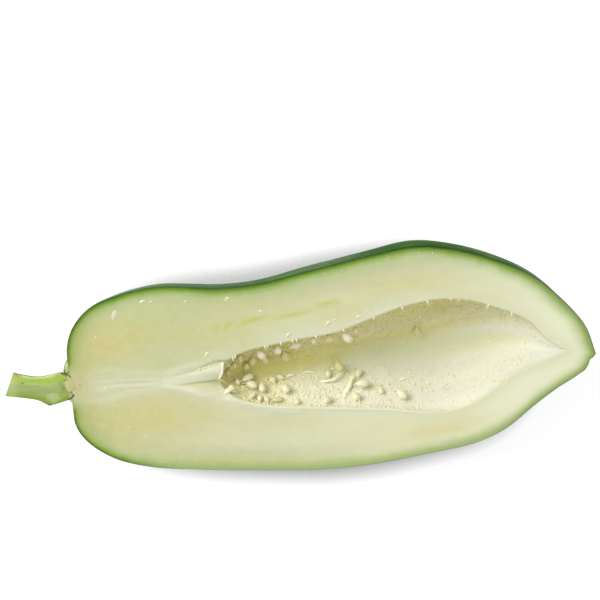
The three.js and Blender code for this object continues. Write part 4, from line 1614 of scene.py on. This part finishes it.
# Where the beads of juice stand closest: centre, reach.
BEAD_CLUSTERS = [
    ((28, 47), (12, 4)), ((48, 52), (12, 4)), ((40, 38), (14, 2.5)), ((-105, 38), (22, 8)),
    ((-100, -38), (24, 7)), ((-60, -45), (24, 6)),
]
# Share of the beads that stand there, and how clear all of them keep of the skin and the hollow.
CLUSTERED_SHARE = 0.6
EDGE_CLEARANCE = 1.5
# The drops lean toward the upper left, where their steep side catches the light.
SKEW = (-0.683, 0.731, 0)
APEX_SHIFT = 0.15


def dome(centre, length, width, height, turn, rings, sides):
    """A closed drop that runs out thin onto the cut face."""
    angle = np.linspace(0, 2 * math.pi, sides, endpoint=False)
    share, angle = np.meshgrid(np.linspace(0, 1, rings)[1:], angle, indexing="ij")
    x, y = turned(length / 2 * share * np.cos(angle), width / 2 * share * np.sin(angle), turn)
    z = height * (0.5 + 0.5 * np.cos(math.pi * share)) - DROP_RIM
    points = np.stack([x, y, z], -1).reshape(-1, 3)
    points = np.vstack([points, [[0, 0, height - DROP_RIM], [0, 0, -DROP_ROOT]]])
    steeper = APEX_SHIFT * width / 2 * np.clip(points[:, 2:] / height, 0, 1)
    points = points + np.asarray(SKEW) * steeper + np.asarray(centre)
    return points, closed_faces(rings - 1, sides)


def on_cut(x, y):
    """True where the plane of the cut is flesh, clear of the skin and the hollow."""
    for closed, wanted in ((OUTLINE, True), (LIPS, False)):
        ring = np.vstack([closed, closed[:1]])[:, :2] - (x, y)
        turn = np.arctan2(ring[:, 1], ring[:, 0])
        step = (np.diff(turn) + math.pi) % (2 * math.pi) - math.pi
        inside = abs(step.sum()) > math.pi
        if inside != wanted:
            return False
    point = np.array([[x, y, 0.0]])
    return min(distance_to(point, OUTLINE)[0], distance_to(point, LIPS)[0]) > EDGE_CLEARANCE


def sap_material():
    s = Shader("sap")
    colour = s.mix(s.cloud(1.8, 2), linear((0.84, 0.855, 0.66)), linear((0.88, 0.89, 0.73)))
    return s.finish(
        Base_Color=colour, Roughness=0.12, Normal=s.bump(s.noise(0.8, 2), 0.04),
        Coat_Weight=1.0, Coat_Roughness=0.04)


class PAPAYA_OT_sap(bpy.types.Operator):
    """Build the drops of milky sap and the beads of juice on the cut"""

    bl_idname = "papaya.sap"
    bl_label = "Sap and Juice"

    def execute(self, context):
        rng = np.random.default_rng(BEAD_SEED)
        gathered = Gathered()
        for (x, y), length, width, height, turn in SAP_DROPS:
            centre = (x, y, face_height(x, y))
            points, faces = dome(centre, length, width, height, turn, DROP_RINGS, DROP_SIDES)
            points += 0.10 * noise(points, 1.6, 51)[:, None] * (0.8, 0.8, 0.2)
            gathered.add(points, faces)
        beads = 0
        while beads < JUICE_BEADS:
            if rng.random() < CLUSTERED_SHARE:
                centre, reach = BEAD_CLUSTERS[rng.integers(len(BEAD_CLUSTERS))]
                x, y = rng.normal(centre, np.array(reach))
            else:
                x, y = rng.uniform(-134, 130), rng.uniform(-54, 60)
            if not on_cut(x, y):
                continue
            size = 0.3 + 0.6 * rng.random() ** 2
            length = size * rng.uniform(1, 2.0)
            centre = (x, y, face_height(x, y))
            gathered.add(*dome(centre, length, size, 0.17 * size, rng.uniform(20, 70), 4, 8))
            beads += 1
        new_piece("sap_and_juice", gathered.mesh("sap"), [sap_material()])
        return {"FINISHED"}


# ------------------------------------------------------------------ torn tissue

# Free edge of the torn lining, and its width along that edge.
FLAP_EDGE = [
    (-57.3, 8.4, -0.4), (-57.2, 6.6, 0.1), (-57.6, 4.4, 0.2), (-58.0, 2.2, 0.15),
    (-59.0, 0.3, 0.0), (-60.4, -1.2, -0.3),
]
FLAP_WIDTH = [0.8, 1.9, 2.6, 2.6, 1.9, 0.5]
# Section of the torn lining: across from the free edge, height.
FLAP_PROFILE = [
    (0.0, 0.62), (-0.12, 0.72), (-0.30, 0.52), (-0.60, 0.22), (-0.90, 0.05), (-1.12, -0.25),
    (-1.15, -0.9), (-0.75, -1.3), (-0.40, -0.9), (-0.16, -0.1), (-0.02, 0.40),
]
# Lumps of lining: centre, size, turn.
LUMPS = [
    ((-56.6, -8.8, -1.7), (4.6, 3.0, 2.6), 28), ((-54.2, -7.0, -1.6), (3.2, 3.4, 2.8), 70),
    ((-53.6, -8.6, -2.6), (3.4, 2.6, 2.4), -20),
]
# Small seeds stuck in the upper slit: centre, length, thickness.
SLIT_SEEDS = [((-69.9, 5.0, -0.1), 2.2, 1.5), ((-66.8, 5.8, -0.2), 1.7, 1.3), ((-64.4, 6.5, -0.4), 1.8, 1.3)]
# Crumbs below the torn lining.
CRUMBS = [
    (-58.6, -1.9, -0.5), (-57.9, -2.8, -0.9), (-60.0, -1.5, -0.1), (-61.4, -1.2, 0.1), (-57.2, -3.4, -1.2),
]
CRUMB_SIZE = (0.9, 0.7, 0.6)
LINING, LINING_SHADE = (0.945, 0.945, 0.86), (0.84, 0.85, 0.70)
CRUMB_SHADE = (0.84, 0.80, 0.44)


def lump_shape(centre, size, turn, seed, rings=18, sides=24, roughness=0.22):
    """A closed knobbly lump."""
    polar, around = np.meshgrid(
        np.linspace(0, math.pi, rings), np.linspace(0, 2 * math.pi, sides, endpoint=False), indexing="ij")
    ball = np.stack([np.cos(polar), np.sin(polar) * np.cos(around), np.sin(polar) * np.sin(around)], -1)
    bulge = 1 + roughness * noise(ball * 2.1 + 9, 1.0, seed)
    bulge = bulge + 0.4 * roughness * noise(ball * 5 + 9, 1.0, seed + 1)
    x, y, z = (ball * bulge[..., None] * np.asarray(size) / 2).reshape(-1, 3).T
    points = np.stack([*turned(x, y, turn), z], -1) + np.asarray(centre)
    return points, ring_faces(rings, sides)


def flap_shape():
    """The curled pale rim of torn lining across the hollow's narrow end."""
    edge = catmull_rom(FLAP_EDGE, 14)
    width = smooth_value(FLAP_WIDTH, np.linspace(0, 1, len(edge))) + 0.08 * noise(edge, 1.8, 61)
    profile = catmull_rom(FLAP_PROFILE, 4)
    way = np.gradient(edge, axis=0)
    way /= np.linalg.norm(way, axis=1, keepdims=True)
    side = np.cross(way, (0, 0, 1))
    side /= np.linalg.norm(side, axis=1, keepdims=True)
    side *= np.sign(side[len(side) // 2, 0])
    reach = width[:, None] * profile[None, :, 0]
    height = (0.20 + 0.2 * width)[:, None] * profile[None, :, 1]
    rings = edge[:, None] + side[:, None] * reach[..., None] + np.array([0, 0, 1]) * height[..., None]
    rows, columns = rings.shape[:2]
    points = np.vstack([rings.reshape(-1, 3), rings[0].mean(axis=0), rings[-1].mean(axis=0)])
    root = np.broadcast_to(-profile[:, 0], (rows, columns)).ravel()
    return points, closed_faces(rows, columns), np.append(root, [0.5, 0.5])


class PAPAYA_OT_tissue(bpy.types.Operator):
    """Build the torn lining, the lump and the crumbs at the hollow's narrow end"""

    bl_idname = "papaya.tissue"
    bl_label = "Torn Tissue"

    def execute(self, context):
        flap = Gathered()
        flap.add(*flap_shape())
        lining = thread_material("lining", LINING, LINING_SHADE)
        new_piece("torn_lining", flap.mesh("torn_lining"), [lining])

        gathered = Gathered()
        for number, lump in enumerate(LUMPS):
            gathered.add(*lump_shape(*lump, 71 + number), 0.42)
        for centre, length, width in SLIT_SEEDS:
            gathered.add(*lump_shape(centre, (length, width, width), 15, 72, 10, 12, 0.08), 0.55)
        for number, centre in enumerate(CRUMBS):
            gathered.add(*lump_shape(centre, CRUMB_SIZE, 40 * number, 80 + number, 8, 10, 0.3), 1.0)
        crumb = thread_material("crumb", context.scene.papaya_seed.thread, CRUMB_SHADE)
        new_piece("lump_and_crumbs", gathered.mesh("crumbs"), [crumb])
        return {"FINISHED"}


# ------------------------------------------------------------------ the stage

FLOOR_SIZE = 6.0
FLOOR_DROP = 0.0002
# The camera looks straight down: its height in metres over the middle of the fruit's cut, its
# offset in millimetres to its own right and up, and its roll.
CAMERA_RISE = 0.7367
CAMERA_OFFSET = (-17.94, 35.88)
CAMERA_ROLL = math.radians(4.17)
SENSOR_WIDTH = 36
LAMP_DISTANCE = 2.4
# Way from the fruit to each lamp, and the lamp's size.
LAMPS = {"key": ((-0.9, 0.66, 1.12), 1.5), "fill": ((0.5, -0.8, 1.2), 1.6)}
# Painted contact shade on the floor close under the fruit's edge, from ambient occlusion rather than the
# lamps: how far it is felt, between which shares of open sky it fades, and how bright the floor stays in it.
CONTACT_REACH = 0.030
CONTACT_SPAN = (0.70, 1.0)
CONTACT_SHADE = 0.2
# Brightness of the floor's own glow and its lit part together; over 1, so that open floor is white.
FULL_GLOW = 1.25


def lamp_power(share, distance):
    """Power of an area lamp that lights white paper facing it to this share of white."""
    return share * math.pi**2 * distance**2


def add_lamp(name, direction, size, share, target):
    data = bpy.data.lights.new(name, "AREA")
    data.shape = "DISK"
    data.size = size
    data.energy = lamp_power(share, LAMP_DISTANCE)
    lamp = new_object(name, data)
    way = Vector(direction).normalized()
    lamp.location = target + way * LAMP_DISTANCE
    lamp.rotation_mode = "QUATERNION"
    lamp.rotation_quaternion = way.to_track_quat("Z", "Y")


def floor_material(settings):
    """White floor that runs out to white for the camera and keeps a soft shadow."""
    s = Shader("floor")
    s.finish(Base_Color=linear(settings.floor), Roughness=0.9, Specular_IOR_Level=0.2)
    dim = s.node("BsdfDiffuse", {"Color": (settings.shadow,) * 3 + (1,)})
    # Painted contact shade: ambient occlusion dims the floor's glow close to the fruit.
    near = s.node("AmbientOcclusion", {"Distance": CONTACT_REACH}, samples=8).outputs["AO"]
    strength = s.times(s.span(near, *CONTACT_SPAN, CONTACT_SHADE, 1), FULL_GLOW - settings.shadow)
    glow = s.node("Emission", {"Color": (1, 1, 1, 1), "Strength": strength})
    shown = s.node("AddShader")
    s.set(shown.inputs[0], dim.outputs["BSDF"])
    s.set(shown.inputs[1], glow.outputs["Emission"])
    chosen = s.node("MixShader", {"Fac": s.seen()})
    s.set(chosen.inputs[1], s.surface.outputs["BSDF"])
    s.set(chosen.inputs[2], shown.outputs["Shader"])
    s.set(s.tree.nodes["Material Output"].inputs["Surface"], chosen.outputs["Shader"])
    return s.material


def white_world(strength):
    """Even light from all round, which the camera sees as plain white."""
    world = bpy.data.worlds.new("surroundings")
    world.use_nodes = True
    bpy.context.scene.world = world
    s = Nodes(world.node_tree)
    background = s.tree.nodes["Background"]
    s.set(background.inputs["Color"], (1, 1, 1, 1))
    shown = s.node("MapRange", {"Value": s.seen(), "To Min": strength, "To Max": 1.0})
    s.set(background.inputs["Strength"], shown.outputs["Result"])


class PAPAYA_OT_stage(bpy.types.Operator):
    """Lay the floor, hang the lamps and set the camera"""

    bl_idname = "papaya.stage"
    bl_label = "Stage"

    def execute(self, context):
        settings = context.scene.papaya_stage
        side = FLOOR_SIZE / 2
        corners = [(-side, -side, 0), (side, -side, 0), (side, side, 0), (-side, side, 0)]
        mesh = new_mesh("floor", corners, [(0, 1, 2, 3)])
        mesh.materials.append(floor_material(settings))
        floor = new_object("floor", mesh)
        floor.location.z = -FLOOR_DROP
        target = Vector(ORIGIN)
        for name, (direction, size) in LAMPS.items():
            add_lamp(name, direction, size, getattr(settings, name), target)
        white_world(settings.sky)

        data = bpy.data.cameras.new("camera")
        data.lens = settings.lens
        data.sensor_width = SENSOR_WIDTH
        camera = new_object("camera", data)
        right = Vector((math.cos(CAMERA_ROLL), -math.sin(CAMERA_ROLL), 0))
        up = Vector((math.sin(CAMERA_ROLL), math.cos(CAMERA_ROLL), 0))
        offset = right * CAMERA_OFFSET[0] * MM + up * CAMERA_OFFSET[1] * MM
        camera.location = target + offset + Vector((0, 0, CAMERA_RISE))
        camera.rotation_euler = (0, 0, -CAMERA_ROLL)
        context.scene.camera = camera
        context.scene.view_settings.view_transform = "Standard"
        return {"FINISHED"}


# ------------------------------------------------------------------ panel and start

OPERATORS = (
    PAPAYA_OT_stage, PAPAYA_OT_fruit, PAPAYA_OT_stem, PAPAYA_OT_seeds, PAPAYA_OT_threads,
    PAPAYA_OT_buds, PAPAYA_OT_tissue, PAPAYA_OT_joint, PAPAYA_OT_sap,
)
SETTINGS = {
    "papaya_flesh": PapayaFleshSettings,
    "papaya_skin": PapayaSkinSettings,
    "papaya_stem": PapayaStemSettings,
    "papaya_seed": PapayaSeedSettings,
    "papaya_stage": PapayaStageSettings,
}


class PAPAYA_PT_pieces(bpy.types.Panel):
    """Buttons that build the pieces, and their settings"""

    bl_label = "Green Papaya"
    bl_idname = "PAPAYA_PT_pieces"
    bl_space_type = "VIEW_3D"
    bl_region_type = "UI"
    bl_category = "Papaya"

    def draw(self, context):
        for operator in OPERATORS:
            self.layout.operator(operator.bl_idname)
        for name, kind in SETTINGS.items():
            box = self.layout.box()
            box.label(text=kind.bl_rna.name)
            for key in kind.__annotations__:
                box.prop(getattr(context.scene, name), key)


def register():
    for kind in (*SETTINGS.values(), *OPERATORS, PAPAYA_PT_pieces):
        bpy.utils.register_class(kind)
    for name, kind in SETTINGS.items():
        setattr(bpy.types.Scene, name, bpy.props.PointerProperty(type=kind))


def unregister():
    for name in SETTINGS:
        delattr(bpy.types.Scene, name)
    for kind in reversed((*SETTINGS.values(), *OPERATORS, PAPAYA_PT_pieces)):
        bpy.utils.unregister_class(kind)


def main():
    register()
    for operator in OPERATORS:
        group, name = operator.bl_idname.split(".")
        getattr(getattr(bpy.ops, group), name)()


if __name__ == "__main__":
    main()
